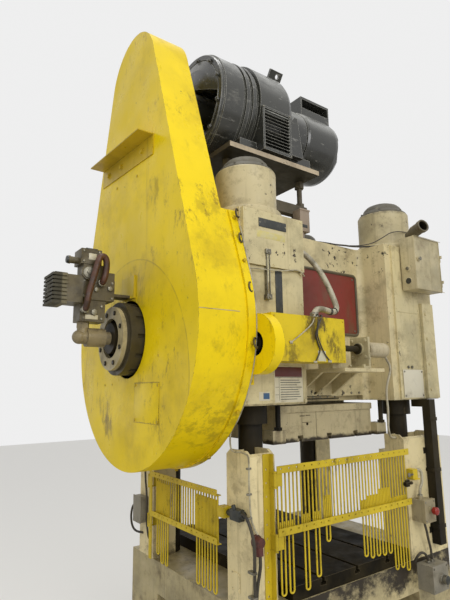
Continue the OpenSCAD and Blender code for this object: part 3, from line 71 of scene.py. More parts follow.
# Flexible conduit: a corrugated steel conduit in a grey plastic sheath, from the left pier
# down to the cam box. Oil has darkened it in patches, and a gland nut holds each end.
def linear(red, green, blue):
    """A shader's colour, from one on the scale of 0 to 255."""
    parts = []
    for value in (red, green, blue):
        value = value / 255
        parts.append(value / 12.92 if value < 0.04045 else ((value + 0.055) / 1.055) ** 2.4)
    return (*parts, 1.0)


def shade(colour, times, lift=0):
    return tuple(min(255, value * times + lift) for value in colour)


def blend(one, other, share):
    return tuple(v + (w - v) * share for v, w in zip(one, other))


def add(tree, kind, output, inputs, **settings):
    """Adds a shader node, whose inputs are values or other nodes' outputs, and returns an output."""
    node = tree.nodes.new("ShaderNode" + kind)
    for name, value in settings.items():
        setattr(node, name, value)
    for key, value in inputs.items():
        if isinstance(value, bpy.types.NodeSocket):
            tree.links.new(value, node.inputs[key])
        else:
            node.inputs[key].default_value = value
    return node.outputs[output]


class Finish:
    """A surface laid on in coats, with its gloss and its relief."""

    def __init__(self, name, colour, rough=0.5, metal=0.0, shine=0.5):
        self.look = bpy.data.materials.new(name)
        self.look.use_nodes = True
        self.tree = self.look.node_tree
        self.shader = self.tree.nodes["Principled BSDF"]
        self.shader.inputs["Roughness"].default_value = rough
        self.shader.inputs["Metallic"].default_value = metal
        self.shader.inputs["Specular IOR Level"].default_value = shine
        self.place = self.node("TexCoord", "Object", {})
        self.tone = linear(*colour)
        self.relief = None

    def node(self, kind, output, inputs, **settings):
        return add(self.tree, kind, output, inputs, **settings)

    def feed(self, socket, value):
        self.tree.links.new(value, self.shader.inputs[socket])

    def noise(self, size, detail, harsh=0.6, stretch=(1, 1, 1), shift=(0, 0, 0)):
        grid = self.node("Mapping", "Vector", {"Vector": self.place, "Scale": stretch, "Location": shift})
        return self.node("TexNoise", "Fac", {"Vector": grid, "Scale": size, "Detail": detail,
                                             "Roughness": harsh})

    def band(self, value, low, high, top=1.0, bottom=0.0):
        """A soft step, from bottom below low to top above high."""
        return self.node("MapRange", "Result", {"Value": value, "From Min": low, "From Max": high,
                                                "To Min": bottom, "To Max": top},
                         interpolation_type="SMOOTHSTEP")

    def slope(self, value, none, full, amount=1.0):
        """A soft step from 0 at none to amount at full, whichever of the two is higher."""
        ends = (amount, 0.0) if none < full else (0.0, amount)
        return self.band(value, min(none, full), max(none, full), *ends)

    def cloud(self, size, detail, low, high, top=1.0, harsh=0.6, stretch=(1, 1, 1), shift=(0, 0, 0)):
        """Patches of noise: 0 where it is below low, top where it is above high."""
        return self.band(self.noise(size, detail, harsh, stretch, shift), low, high, top)

    def join(self, how, one, other):
        return self.node("Math", 0, {0: one, 1: other}, operation=how)

    def times(self, one, other):
        return self.join("MULTIPLY", one, other)

    def along(self, axis):
        return self.node("SeparateXYZ", axis, {0: self.place})

    def coat(self, amount, colour):
        self.tone = self.node("Mix", "Result", {"Factor": amount, "A": self.tone, "B": linear(*colour)},
                              data_type="RGBA")

    def patches(self, colour, *cloud, **noise):
        self.coat(self.cloud(*cloud, **noise), colour)

    def edges(self, radius):
        """1 on corners, as far as radius metres from them."""
        soft = self.node("Bevel", "Normal", {"Radius": radius}, samples=4)
        flat = self.node("NewGeometry", "True Normal", {})
        likeness = self.node("VectorMath", "Value", {0: soft, 1: flat}, operation="DOT_PRODUCT")
        return self.band(likeness, 0.84, 0.98, 0.0, 1.0)

    def facing(self, axis, none, full):
        """1 where the surface looks along the axis, 0 where it doesn't."""
        normal = self.node("NewGeometry", "Normal", {})
        return self.slope(self.node("SeparateXYZ", axis, {0: normal}), none, full)

    def distance(self, spot):
        """Metres from a spot on the press."""
        return self.node("VectorMath", "Value", {0: self.place, 1: at(*spot)}, operation="DISTANCE")

    def near(self, spot, reach):
        """1 at a spot on the press, falling to 0 at reach metres from it."""
        return self.band(self.distance(spot), reach * 0.25, reach, 0.0, 1.0)

    def gloss(self, low, high, size, detail, harsh=0.6):
        """Lets the roughness wander between low and high."""
        self.feed("Roughness", self.band(self.noise(size, detail, harsh), 0.25, 0.75, high, low))

    def relieve(self, value, depth, strength=0.4, sunk=False):
        inputs = {"Strength": strength, "Distance": depth, "Height": value}
        if self.relief:
            inputs["Normal"] = self.relief
        self.relief = self.node("Bump", "Normal", inputs, invert=sunk)

    def grain(self, size, detail, depth, strength=0.4):
        self.relieve(self.noise(size, detail), depth, strength)

    def done(self):
        if isinstance(self.tone, tuple):
            self.shader.inputs["Base Color"].default_value = self.tone
        else:
            self.feed("Base Color", self.tone)
        if self.relief:
            self.feed("Normal", self.relief)
        return self.look


def sheath(name, colour, dirt, rough=0.55):
    coat = Finish(name, colour, rough)
    coat.patches(dirt, 14, 5, 0.42, 0.66, 0.75)
    coat.patches(shade(dirt, 0.5), 55, 4, 0.58, 0.7, 0.5)
    coat.gloss(rough - 0.12, rough + 0.2, 30, 3)
    coat.grain(90, 3, 0.0012)
    return coat.done()


def smooth(stops, steps):
    """Points on the curve through stops on the press, with that many steps on each stretch."""
    stops = [at(*stop) for stop in stops]
    last = len(stops) - 1
    points = []
    for i in range(last):
        p0, p1, p2, p3 = stops[max(i - 1, 0)], stops[i], stops[i + 1], stops[min(i + 2, last)]
        for j in range(steps):
            t = j / steps
            points.append(0.5 * (2 * p1 + (p2 - p0) * t + (2 * p0 - 5 * p1 + 4 * p2 - p3) * t * t
                                 + (3 * p1 - p0 - 3 * p2 + p3) * t ** 3))
    return points + [stops[last]]


def run_length(points):
    return sum((b - a).length for a, b in zip(points, points[1:]))


def evenly(points, pitch):
    """The same run with points a pitch apart."""
    total = run_length(points)
    count = max(2, round(total / pitch))
    placed = [points[0]]
    stretch, gone = 0, 0.0
    for i in range(1, count):
        goal = total * i / count
        while gone + (points[stretch + 1] - points[stretch]).length < goal:
            gone += (points[stretch + 1] - points[stretch]).length
            stretch += 1
        step = points[stretch + 1] - points[stretch]
        placed.append(points[stretch] + step * ((goal - gone) / step.length))
    return placed + [points[-1]]


def hang(name, data, look, body="frame"):
    """Makes a piece of a mesh or a curve and lets it ride on its body."""
    data.materials.append(look)
    made = bpy.data.objects.new(name, data)
    bpy.context.collection.objects.link(made)
    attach(made, body)
    return made


def bent_bar(name, points, radius, resolution, look, pinch=1.0):
    """A round bar through points, its radius in millimetres; every second one is drawn in by pinch."""
    curve = bpy.data.curves.new(name, "CURVE")
    curve.dimensions = "3D"
    curve.bevel_depth = radius / 1000
    curve.bevel_resolution = resolution
    curve.use_fill_caps = True
    line = curve.splines.new("POLY")
    line.points.add(len(points) - 1)
    for i, (knot, point) in enumerate(zip(line.points, points)):
        knot.co = (*point, 1)
        knot.radius = pinch if i % 2 else 1.0
    return hang(name, curve, look)


def cable(name, stops, radius, look, rib=0):
    """A cord on the press with both ends in it. Its radius and rib, the pitch of its
    corrugation, are in millimetres."""
    points = smooth(stops, 8)
    if rib:
        points = evenly(points, rib / 2 / 1000)
    made = bent_bar(name, points, radius, 3 if radius > 4 else 2, look, 0.90 if rib else 1.0)
    return made


conduit_stops = [(-394.7, -470, 2478), (-386, -470, 2478), (-378, -470, 2478), (-342, -487, 2468),
                 (-296, -518, 2438), (-250, -548, 2384), (-208, -574, 2312), (-178, -594, 2236),
                 (-160, -610, 2168), (-158, -622, 2126), (-182, -634, 2100), (-226, -646, 2090),
                 (-276, -658, 2092), (-326, -668, 2094), (-366, -674, 2086), (-384, -675, 2068),
                 (-388, -675, 2056), (-388, -675, 2049), (-388, -675, 2043.3)]
grey_sheath = sheath("grey_conduit", (184, 176, 152), (96, 86, 62), 0.42)
conduit = cable("flexible_conduit", conduit_stops, 16.6, grey_sheath, rib=6.4)
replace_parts(conduit, "conduit_hose")


# Gland nuts: cast zinc glands and hex nuts that clamp the conduit's two ends.
def mottled(name, colour, rough, metal, patches, grain, gloss=None):
    """A plain finish with one coat of patches; each row is what the method of that name takes."""
    coat = Finish(name, colour, rough, metal)
    coat.patches(*patches)
    if gloss:
        coat.gloss(*gloss)
    coat.grain(*grain)
    return coat.done()


def ease(grid, edges, rim):
    bmesh.ops.bevel(grid, geom=edges, offset=rim / 1000, offset_type="OFFSET", segments=2,
                    profile=0.5, affect="EDGES", material=-1)


def block(grid, low, high, rim=0):
    """A squared piece between two corners given on the press, its edges eased."""
    low, high = at(*low), at(*high)
    verts = bmesh.ops.create_cube(grid, size=1)["verts"]
    bmesh.ops.scale(grid, verts=verts, vec=high - low)
    bmesh.ops.translate(grid, verts=verts, vec=(low + high) / 2)
    if rim:
        ease(grid, [e for e in grid.edges if e.verts[0] in verts], rim)


def aimed(place, direction):
    """The placing of a part that is made on the Z axis, so that it stands on place along direction."""
    return Matrix.Translation(place) @ Vector(direction).to_track_quat("Z", "Y").to_matrix().to_4x4()


def rod(grid, place, direction, radius, length, sides, rim=0):
    """A round bar or a hex: it starts at place and runs along direction, its far edge eased. Two
    radii make it a cone."""
    near, far = radius if isinstance(radius, tuple) else (radius, radius)
    middle = length / 1000 / 2
    start = at(*place)
    stand = aimed(start, direction) @ Matrix.Translation((0, 0, middle))
    verts = bmesh.ops.create_cone(grid, cap_ends=True, segments=sides, radius1=near / 1000,
                                  radius2=far / 1000, depth=length / 1000, matrix=stand)["verts"]
    if rim:
        axis = Vector(direction).normalized()
        end = {v for v in verts if (v.co - start).dot(axis) > middle}
        ease(grid, [e for e in grid.edges if end.issuperset(e.verts)], rim)


def solid(name, grid, look, body="frame"):
    """Makes a piece of a finished bmesh, facing outwards."""
    bmesh.ops.recalc_face_normals(grid, faces=grid.faces)
    mesh = bpy.data.meshes.new(name)
    grid.to_mesh(mesh)
    grid.free()
    mesh.shade_smooth()
    mesh.set_sharp_from_angle(angle=math.radians(35))
    return hang(name, mesh, look, body)


def build(name, look, blocks=(), rods=(), body="frame"):
    """A piece of blocks and bars, sized in millimetres. A row of blocks is two corners and a rim.
    A row of rods is a direction, radius, length, number of sides and rim, then the places where
    such bars start."""
    grid = bmesh.new()
    for row in blocks:
        block(grid, *row)
    for direction, radius, length, sides, rim, *places in rods:
        for place in places:
            rod(grid, place, direction, radius, length, sides, rim)
    return solid(name, grid, look, body)


LEFT, RIGHT = (-1, 0, 0), (1, 0, 0)
FRONT, BACK = (0, -1, 0), (0, 1, 0)
DOWN, UP = (0, 0, -1), (0, 0, 1)
zinc = mottled("zinc_fitting", (138, 134, 120), 0.42, 0.7, ((70, 62, 46), 40, 5, 0.45, 0.68, 0.8),
               (120, 3, 0.0008), (0.3, 0.62, 70, 4))
build("conduit_glands", zinc, rods=[
    (RIGHT, 27, 12, 6, 1.5, (-394, -470, 2478)),
    ((1, -0.06, 0), 21.5, 16, 24, 2, (-382, -470, 2478)),
    (UP, 27, 10, 6, 1.5, (-388, -675, 2044)),
    ((0, 0.04, 1), 21.5, 16, 24, 2, (-388, -675, 2054))])

# Air hose: brown rubber hose on the valve, crimped into steel ferrules at both ends. Its
# stops are given from the valve's lower corner.
hose_stops = [(13, -50.3, 58), (13, -60, 58.4), (12.6, -75, 62.5), (12.2, -87.5, 73), (12.4, -95, 88),
              (14, -98, 108), (19, -98.5, 138), (28, -98, 174), (40, -98, 220), (52, -97.5, 268),
              (61, -97, 304), (68, -96, 322), (79, -94.5, 333), (92, -93, 333), (102, -91.5, 324),
              (107, -90, 308), (108, -90, 284), (106, -90, 262), (102.5, -90, 240), (99, -88.5, 224),
              (96.5, -84, 211), (94.8, -75.5, 203), (94, -66, 200.3), (94, -56.3, 200)]
hose_stops = [(x - 1385.3, y, z + 2030) for x, y, z in hose_stops]
brown_rubber = sheath("brown_hose_rubber", (84, 52, 36), (44, 32, 24), 0.5)
air_hose = cable("air_hose", hose_stops, 16.6, brown_rubber)
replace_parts(air_hose, "valve_hose")
build("hose_ferrules", zinc, rods=[
    (FRONT, 20.5, 24, 24, 2, (-1372.3, -51, 2088)),
    ((0, -1, 0.05), 20.5, 20, 24, 2, (-1291.3, -57, 2230))])

# Sensor wires: thin stranded wires that hang over the cam box from the conduit's gland,
# tied to the conduit, with their loose ends taped back to the box.
wire_dark = sheath("dark_wire", (62, 56, 44), (34, 30, 24), 0.5)
wire_pale = sheath("pale_wire", (176, 168, 142), (108, 98, 72), 0.5)
cable("sensor_wire_1", [
    (-388, -690, 2050), (-398, -706, 2056), (-412, -726, 2050), (-430, -744, 2034), (-449, -755, 1993),
    (-466, -756, 1943), (-455, -756, 1904), (-443, -756, 1871), (-459, -756, 1837), (-474, -755, 1814)],
    3.4, wire_dark)
cable("sensor_wire_2", [
    (-366, -692, 2050), (-380, -716, 2052), (-408, -744, 2038), (-448, -759.5, 1990), (-461, -761, 1944),
    (-440, -758, 1898), (-414, -756, 1858), (-390, -756, 1832), (-374, -756, 1818)],
    3.4, wire_dark)
cable("sensor_wire_3", [
    (-400, -668, 2051), (-420, -704, 2056), (-452, -738, 2042), (-486, -756, 2002), (-534, -756, 1963),
    (-600, -756, 1920), (-632, -756, 1901)], 3, wire_pale)

# Encoder lead: a grey lead that hangs from the encoder's plug, down in front of the right
# column.
cable("encoder_lead", [
    (140, -697, 1862), (152, -700, 1838), (166, -706, 1808), (170, -702, 1770), (166, -690, 1730),
    (176, -668, 1680), (196, -650, 1625), (214, -640, 1570), (224, -630, 1510), (236, -618, 1466),
    (262, -602, 1430), (300, -582, 1404), (346, -560, 1392), (400, -548, 1388)],
    6.5, grey_sheath)

# Guard lead: a thin grey cable clipped under the drive guard's lip, that leaves it at the
# bottom and goes down the left upright to the gate's socket.
lip = [(-802.5, -604, 2474), (-800.5, -612, 2440), (-800.5, -626, 2392), (-800.5, -646, 2326),
       (-800.5, -664, 2262)]
for degrees in range(15, -49, -6):
    turn = math.radians(degrees)
    lip.append((-800.5, 12 - 724 * math.cos(turn), 1995 + 724 * math.sin(turn)))
lip += [(-796, -500, 1408), (-786, -560, 1402), (-781, -600, 1392), (-779, -607, 1370), (-779, -608, 1330),
        (-780, -608, 1280), (-779, -608, 1220), (-776, -608, 1160), (-768, -608, 1110), (-752, -610, 1070),
        (-742, -616, 1052)]
cable("guard_lead", lip, 4.2, wire_pale)

# Gate leads: short flexible conduits from the gate switches, one looped into the top of the
# stop button box, one down the left upright's corner, and leads between the button boxes.
cable("front_gate_conduit", [
    (440, -622, 1192), (452, -632, 1204), (468, -640, 1206), (484, -642, 1190), (488, -642, 1160),
    (482, -641, 1130), (466, -640, 1105), (460, -640, 1085), (459, -640, 1066)],
    8.5, grey_sheath, rib=5)
cable("left_gate_conduit", [
    (-792, -556, 1133), (-795, -578, 1137), (-797, -604, 1128), (-795, -626, 1098), (-789, -640, 1050),
    (-784, -642, 1000), (-780, -636, 940), (-776, -630, 880), (-774, -628, 820), (-774, -630, 770),
    (-775, -630, 722), (-776, -626, 716.5)], 7.2, wire_dark)
cable("stop_box_lead", [
    (482, -640, 923), (483, -641, 900), (490, -644, 866), (500, -642, 832), (512, -640, 800),
    (522, -640, 765), (526, -640, 730), (526, -640, 697)], 7, wire_dark)
cable("palm_box_lead", [
    (392, -618, 716), (392, -630, 735), (398, -640, 752), (420, -644, 762), (452, -644, 752),
    (478, -642, 728), (486, -640, 704), (487, -640, 697)], 7, wire_dark)

# Rear leads: one loops out of the rear box and back into the upright, one hangs beside it.
cable("rear_box_lead", [
    (-795, 512, 985), (-796, 530, 984), (-798, 552, 972), (-800, 566, 944), (-801, 572, 908),
    (-800, 566, 872), (-797, 550, 846), (-792, 526, 832), (-784, 500, 828), (-775, 478, 828),
    (-769, 462, 828)], 6.5, wire_dark)
cable("rear_hanging_lead", [
    (-769, 420, 1238), (-778, 416, 1240), (-790, 404, 1232), (-798, 390, 1196), (-800, 380, 1140),
    (-799, 368, 1083), (-799, 362, 1013), (-798, 364, 927), (-792, 362, 868), (-782, 366, 828),
    (-769, 372, 812)], 6, wire_dark)

# Crown leads: a black lead across the crown's top between the piers, a thin wire over the
# right turret's foot, down to the control box, and a thin one along the left pier's front.
cable("crown_lead", [
    (-70, -345, 2586), (-40, -362, 2588), (16, -382, 2586.5), (70, -392, 2586.5), (118, -397, 2586.5),
    (189, -418, 2586.5), (250, -432, 2586.5), (316, -470, 2586.5), (352, -500, 2586.5), (378, -540, 2586.5),
    (392, -570, 2586.5)], 5.5, wire_dark)
cable("turret_wire", [
    (210, -440, 2583.5), (262, -476, 2584), (330, -520, 2600), (396, -556, 2640), (446, -574, 2672),
    (500, -584, 2690), (560, -588, 2700), (612, -588, 2704), (650, -592, 2700), (676, -610, 2690),
    (690, -636, 2664), (694, -650, 2640), (694, -656, 2626.5)], 3.2, wire_dark)
cable("pier_wire", [
    (-793, -628, 2240), (-790, -631, 2252), (-772, -632, 2260), (-748, -631, 2265), (-700, -630, 2268),
    (-640, -630, 2271), (-590, -630, 2275), (-532, -630, 2281), (-490, -631, 2289), (-460, -631, 2293),
    (-432, -630, 2290), (-414, -630, 2281), (-402, -628, 2268)], 3.6, wire_pale)


# Floor and light: a pale floor, a pale room, and three large soft lamps.
def lamp(name, place, target, size, power):
    data = bpy.data.lights.new(name, "AREA")
    data.shape = "SQUARE"
    data.size = size
    data.energy = power
    made = bpy.data.objects.new(name, data)
    bpy.context.collection.objects.link(made)
    made.location = place
    made.rotation_euler = (Vector(target) - Vector(place)).to_track_quat("-Z", "Y").to_euler()


lamp("key", (-0.6, -6.4, 4.6), (0.3, 0, 2.0), 3.6, 155)
lamp("fill", (-5.4, -3.6, 4.4), (0.0, 0, 2.0), 4.0, 60)
lamp("top", (-0.6, -0.2, 7.6), (0.3, 0, 2.0), 1.5, 90)

# The room is brighter to the camera and in reflections than it is as a light.
world = bpy.data.worlds.new("room")
bpy.context.scene.world = world
world.use_nodes = True
room = world.node_tree
background = room.nodes["Background"]
background.inputs["Color"].default_value = (1, 1, 1, 1)
seen = add(room, "Math", 0, {0: add(room, "LightPath", "Is Camera Ray", {}),
                             1: add(room, "LightPath", "Is Glossy Ray", {})}, operation="MAXIMUM")
strength = add(room, "MapRange", "Result", {"Value": seen, "To Min": 0.62, "To Max": 0.86})
room.links.new(strength, background.inputs["Strength"])

ground = bmesh.new()
bmesh.ops.create_grid(ground, x_segments=1, y_segments=1, size=14)
ground_mesh = bpy.data.meshes.new("floor")
ground.to_mesh(ground_mesh)
ground.free()
floor = bpy.data.objects.new("floor", ground_mesh)
bpy.context.collection.objects.link(floor)
floor_paint = Finish("floor_paint", (206, 204, 198), 0.8)
floor_paint.shader.inputs["Emission Color"].default_value = (1, 1, 1, 1)
looked_at = floor_paint.node("LightPath", "Is Camera Ray", {})
floor_paint.feed("Emission Strength", floor_paint.times(looked_at, 0.20))
ground_mesh.materials.append(floor_paint.done())


# Bed: a hollow grey iron casting under old beige machine paint. Oil has soaked its top edge
# and run down its faces, and the paint is chipped to dark primer along the corners.
def worn_paint(name, colour, stain, bare, stained=0.4, chipped=0.35, runs=0.5, rough=0.44, edge=0.004,
               soak=(), front=False, damage=(), extra=None):
    """Old machine paint. soak gives bands of height, in metres, that oil has darkened, the
    darkest end first, with how strong each is; front keeps them to the faces that look
    forward. damage gives spots on the press where the paint has been knocked off."""
    coat = Finish(name, colour, rough, 0.0, 0.4)
    light = shade(colour, 1.08)
    brown = blend(colour, stain, 2 / 3)
    coat.patches(light, 1.3, 4, 0.40, 0.62, 0.9)
    coat.patches(shade(colour, 0.84), 3.1, 7, 0.44, 0.66, 0.85, 0.66, shift=(3, 1, 0))
    coat.patches(brown, 11.0, 9, 0.50, 0.66, 0.35 + 0.45 * stained, 0.76, shift=(5, 0, 1))
    coat.patches(stain, 3.4, 9, 0.60 - 0.18 * stained, 0.84 - 0.20 * stained, 0.95 * stained, 0.74,
                 shift=(0, 7, 0))
    coat.patches(stain, 9.0, 6, 0.60 - 0.10 * runs, 0.74 - 0.10 * runs, 0.75 * runs, 0.66,
                 stretch=(2.4, 2.4, 0.10))
    coat.patches(brown, 30.0, 6, 0.60, 0.68, 0.45 * runs, 0.6, (2.0, 2.0, 0.06), (4, 4, 0))
    coat.patches(light, 22.0, 7, 0.63, 0.70, 0.4, 0.7, (0.25, 0.25, 2.2), (1, 6, 2))
    for darkest, clean, amount in soak:
        reach = coat.slope(coat.along("Z"), clean, darkest, amount)
        if front:
            reach = coat.times(reach, coat.facing("Y", -0.2, -0.7))
        broken = coat.join("ADD", coat.times(coat.noise(4.6, 9, 0.78, (1, 1, 1.3), (2, 5, 1)), 1.5),
                           coat.times(reach, 0.60))
        coat.coat(coat.band(broken, 1.04, 1.30, min(1.0, amount + 0.15)), shade(stain, 0.58))
    coat.patches(shade(stain, 0.85), 48.0, 6, 0.62, 0.69, 0.3 + 0.6 * stained, 0.74)
    chips = coat.times(coat.cloud(15.0, 8, 0.685 - 0.07 * chipped, 0.70 - 0.07 * chipped, 1.0, 0.78,
                                  shift=(1, 2, 3)),
                       coat.cloud(2.1, 3, 0.45, 0.62, shift=(9, 4, 2)))
    for spot, size in damage:
        knocked = coat.band(coat.join("ADD", coat.noise(26.0, 5, 0.66, shift=(2, 8, 4)),
                                      coat.times(coat.near(spot, size), 0.13)), 0.715, 0.73)
        chips = coat.join("MAXIMUM", chips, coat.times(knocked, coat.near(spot, size * 1.3)))
    worn_edge = coat.times(coat.edges(edge), coat.cloud(13.0, 6, 0.47, 0.57, 1.0, 0.75))
    coat.coat(coat.times(worn_edge, 0.75), shade(colour, 1.14))
    chips = coat.join("MAXIMUM", chips, coat.times(worn_edge, coat.cloud(9.0, 6, 0.5, 0.56, 1.0, 0.7)))
    coat.coat(chips, bare)
    if extra:
        extra(coat)
    coat.gloss(rough - 0.12, rough + 0.22, 11.0, 5)
    coat.grain(26.0, 5, 0.003, 0.16)
    coat.relieve(chips, 0.0012, 0.5, True)
    return coat.done()


def dress(look, *names):
    for name in names:
        for slot in nodes[name].material_slots:
            slot.material = look


def darker_left_side(coat):
    """Darkens the bed's left-facing side in patches."""
    reach = coat.times(coat.facing("X", -0.3, -0.8), coat.cloud(2.2, 8, 0.36, 0.62, 1.0, 0.74))
    coat.coat(coat.times(reach, 0.2), (84, 72, 46))


bed_paint = worn_paint("bed_paint", (182, 168, 126), (76, 62, 40), (40, 35, 28), stained=0.6, chipped=0.7,
                       runs=0.3, soak=((0.74, 0.42, 1.0), (0.03, 0.2, 0.6)), front=True, extra=darker_left_side)
dress(bed_paint, "bed", "levelling_feet")

# Bolster: a thick plate of machined steel with T-slots, black with oil and worn bright in places.
oily_steel = Finish("oily_steel", (44, 38, 24), 0.7, 0.0, 0.08)
oily_steel.patches((24, 21, 14), 5, 7, 0.42, 0.66)
oily_steel.patches((92, 80, 54), 7, 8, 0.58, 0.68, 0.7, 0.76, shift=(3, 1, 7))
oily_steel.coat(oily_steel.edges(0.004), (96, 86, 66))
oily_steel.gloss(0.5, 0.85, 8, 5)
oily_steel.grain(40, 5, 0.0015)
oily_steel = oily_steel.done()
dress(oily_steel, "bolster")

# Uprights: four welded steel corner posts with sloping tops. Their beige paint is paler than
# the bed's, and oil has run down it from the guides above.
post_paint = worn_paint("upright_paint", (222, 206, 158), (108, 90, 58), (50, 42, 32), stained=0.4,
                        chipped=0.6, runs=0.6, soak=((0.72, 0.88, 0.6),))
dress(post_paint, "upright_front_left", "upright_front_right", "rear_uprights")


# Cover on the left upright: a small plate over its cable hole, on four screws.
def every(xs, ys, zs):
    """All the places with one of these x, y and z."""
    return [(x, y, z) for x in xs for y in ys for z in zs]


build("upright_cover", post_paint,
      blocks=[((-772, -516, 786), (-768.6, -454, 868), 1)],
      rods=[(LEFT, 5, 3, 12, 1, *every([-771.5], (-508, -462), (794, 860)))])

# Columns, collars, tie rods and nuts: turned steel, black with years of oil.
dark_oil = Finish("black_oily_steel", (50, 43, 27), 0.5, 0.0, 0.15)
dark_oil.patches((27, 24, 18), 3, 6, 0.42, 0.64, stretch=(1, 1, 0.4))
dark_oil.patches((104, 92, 66), 17, 6, 0.61, 0.70, 0.8, 0.7, (1, 1, 0.3))
dark_oil.gloss(0.34, 0.7, 6, 5)
dark_oil.grain(30, 5, 0.002)
dark_oil = dark_oil.done()
dress(dark_oil, "column_sleeves", "tie_rods", "tie_rod_nuts", "slide_guide_rods", "adjusting_screws")

# Slide: a steel weldment in beige paint. Its lower edge is chipped and soaked with oil, and
# thin lines show where its front plates meet.
slide_paint = worn_paint("slide_paint", (184, 171, 134), (86, 72, 50), (38, 33, 26), stained=0.42,
                         chipped=0.6, runs=0.6, soak=((1.39, 1.455, 1.0), (1.60, 1.555, 0.4)))
dress(slide_paint, "slide")
build("slide_seams", oily_steel, body="slide",
      blocks=[((-124.6, -400.8, 1399), (-122.4, -399.4, 1556)), ((-252, -400.8, 1533), (-212, -399.4, 1537)),
              ((-206, -400.8, 1535), (-170, -399.4, 1538.5)), ((-236, -400.8, 1498), (-160, -399.4, 1500))],
      rods=[(FRONT, 8, 4, 6, 1, (-196, -399.6, 1490))])

# Crown: the cast and welded head of the press. The same beige, duller on top, with chips
# round its edges and oil along its bottom lip.
crown_paint = worn_paint("crown_paint", (196, 182, 140), (102, 84, 54), (54, 46, 34), stained=0.34,
                         chipped=0.7, runs=0.4, soak=((1.60, 1.65, 0.7), (2.60, 2.55, 0.4)),
                         damage=(((200, -400, 2470), 0.22), ((330, -560, 2500), 0.16),
                                 ((60, -400, 2500), 0.15), ((150, -430, 1680), 0.14),
                                 ((-100, -400, 1660), 0.12)))
dress(crown_paint, "crown", "cam_shelf")

# Crown lip: the dark slots under the recess, where the casting takes the slide's keepers, and
# the keepers' screws.
build("crown_lip_slot", dark_oil,
      blocks=[((-366, -402.5, 1622), (74, -399.2, 1629)), ((-366, -402.5, 1640), (10, -399.2, 1643))])
build("crown_lip_screws", zinc, rods=[
    (FRONT, 5.5, 4, 6, 1, *every(range(-330, 43, 62), [-399.5], [1635])),
    (FRONT, 8, 6, 6, 1, *every((118, 190, 262), [-399.5], [1655]))])


# Turrets: pressed and welded steel hoods over the tie rod nuts, straight up to their rims,
# in the press's beige with a cluster of deep chips. Six cap screws hold each foot.
def turned(grid, profile, place, steps=64):
    """Spins a profile of radius and height round the upright axis through place."""
    before = set(grid.verts)
    verts = [grid.verts.new(Vector(place) + Vector((radius, 0, height)) / 1000) for radius, height in profile]
    edges = [grid.edges.new(pair) for pair in zip(verts, verts[1:])]
    bmesh.ops.spin(grid, geom=verts + edges, cent=place, axis=UP, dvec=(0, 0, 0), angle=2 * math.pi,
                   steps=steps, use_merge=True, use_duplicate=False)
    made = [v for v in grid.verts if v not in before]
    bmesh.ops.remove_doubles(grid, verts=made, dist=0.00002)


def circle(x, y, z, radius, count, start=0.0, flat=False):
    """Places round a ring about the X axis, or about the Z axis if it lies flat."""
    places = []
    for i in range(count):
        turn = math.radians(start + 360 / count * i)
        one, other = radius * math.cos(turn), radius * math.sin(turn)
        places.append((x + one, y + other, z) if flat else (x, y + one, z + other))
    return places


turret_paint = worn_paint("turret_paint", (186, 173, 134), (96, 82, 56), (44, 38, 30), stained=0.4,
                          chipped=0.6, runs=0.45, soak=((2.85, 2.80, 0.6),),
                          damage=(((-598, -574, 2745), 0.075), ((-560, -570, 2700), 0.05),
                                  ((660, -570, 2800), 0.06), ((560, -570, 2720), 0.05)))
turrets, caps = bmesh.new(), bmesh.new()
foot_screws, lid_screws = [], []
for x, y, z in every((-611, 611), (-410, 410), [2580]):
    turned(turrets, ((0, 0), (194, 0), (194, 34), (190, 40), (174, 40), (168, 48), (168, 268),
                     (165, 272), (0, 272)), at(x, y, z))
    turned(caps, ((0, 0), (160, 0), (162, 6), (158, 12), (136, 32), (133, 34), (131, 40), (124, 56),
                  (106, 74), (78, 86), (42, 92), (0, 94)), at(x, y, z + 272))
    foot_screws += circle(x, y, z + 39.5, 180, 6, 30, flat=True)
    lid_screws += circle(x, y, z + 291, 148, 6, 30, flat=True)
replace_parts(solid("turrets", turrets, turret_paint), "tie_rod_turrets")
build("turret_screws", turret_paint, rods=[(UP, 8.5, 9, 6, 1.2, *foot_screws)])

# Turret caps: dished steel lids in dark grey, their chamfer chipped to the beige below.
cap_paint = worn_paint("turret_cap_paint", (92, 88, 76), (50, 44, 34), (158, 148, 118), stained=0.5,
                       chipped=0.5, runs=0.2, rough=0.6)
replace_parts(solid("domed_caps", caps, cap_paint), "turret_caps")
build("cap_screws", cap_paint, rods=[(UP, 7, 7, 6, 1.2, *lid_screws)])

# Pier covers: flat steel plates screwed to the fronts of the piers, the left one's upper part
# a thin box. Paler than the crown, with yellow overspray and scrapes.
cover_paint = worn_paint("cover_paint", (198, 185, 142), (112, 94, 60), (62, 52, 38), stained=0.3,
                         chipped=0.7, runs=0.4, soak=((1.605, 1.64, 0.7),),
                         damage=(((-560, -626, 2400), 0.12), ((-480, -626, 2360), 0.1),
                                 ((-770, -626, 2330), 0.06), ((-700, -612, 1960), 0.1),
                                 ((430, -612, 1950), 0.14), ((470, -600, 1700), 0.10)))
dress(cover_paint, "pier_covers")
build("cover_screws", cover_paint, rods=[
    (FRONT, 6.5, 3.5, 16, 1.5, *every((-786, -610, -412), [-625.8], (2302, 2562)),
     *every((411, 635), [-611.8], (2170, 2280, 2480, 2560)), *every((-780, -412), [-611.8], (1790, 2120)))])

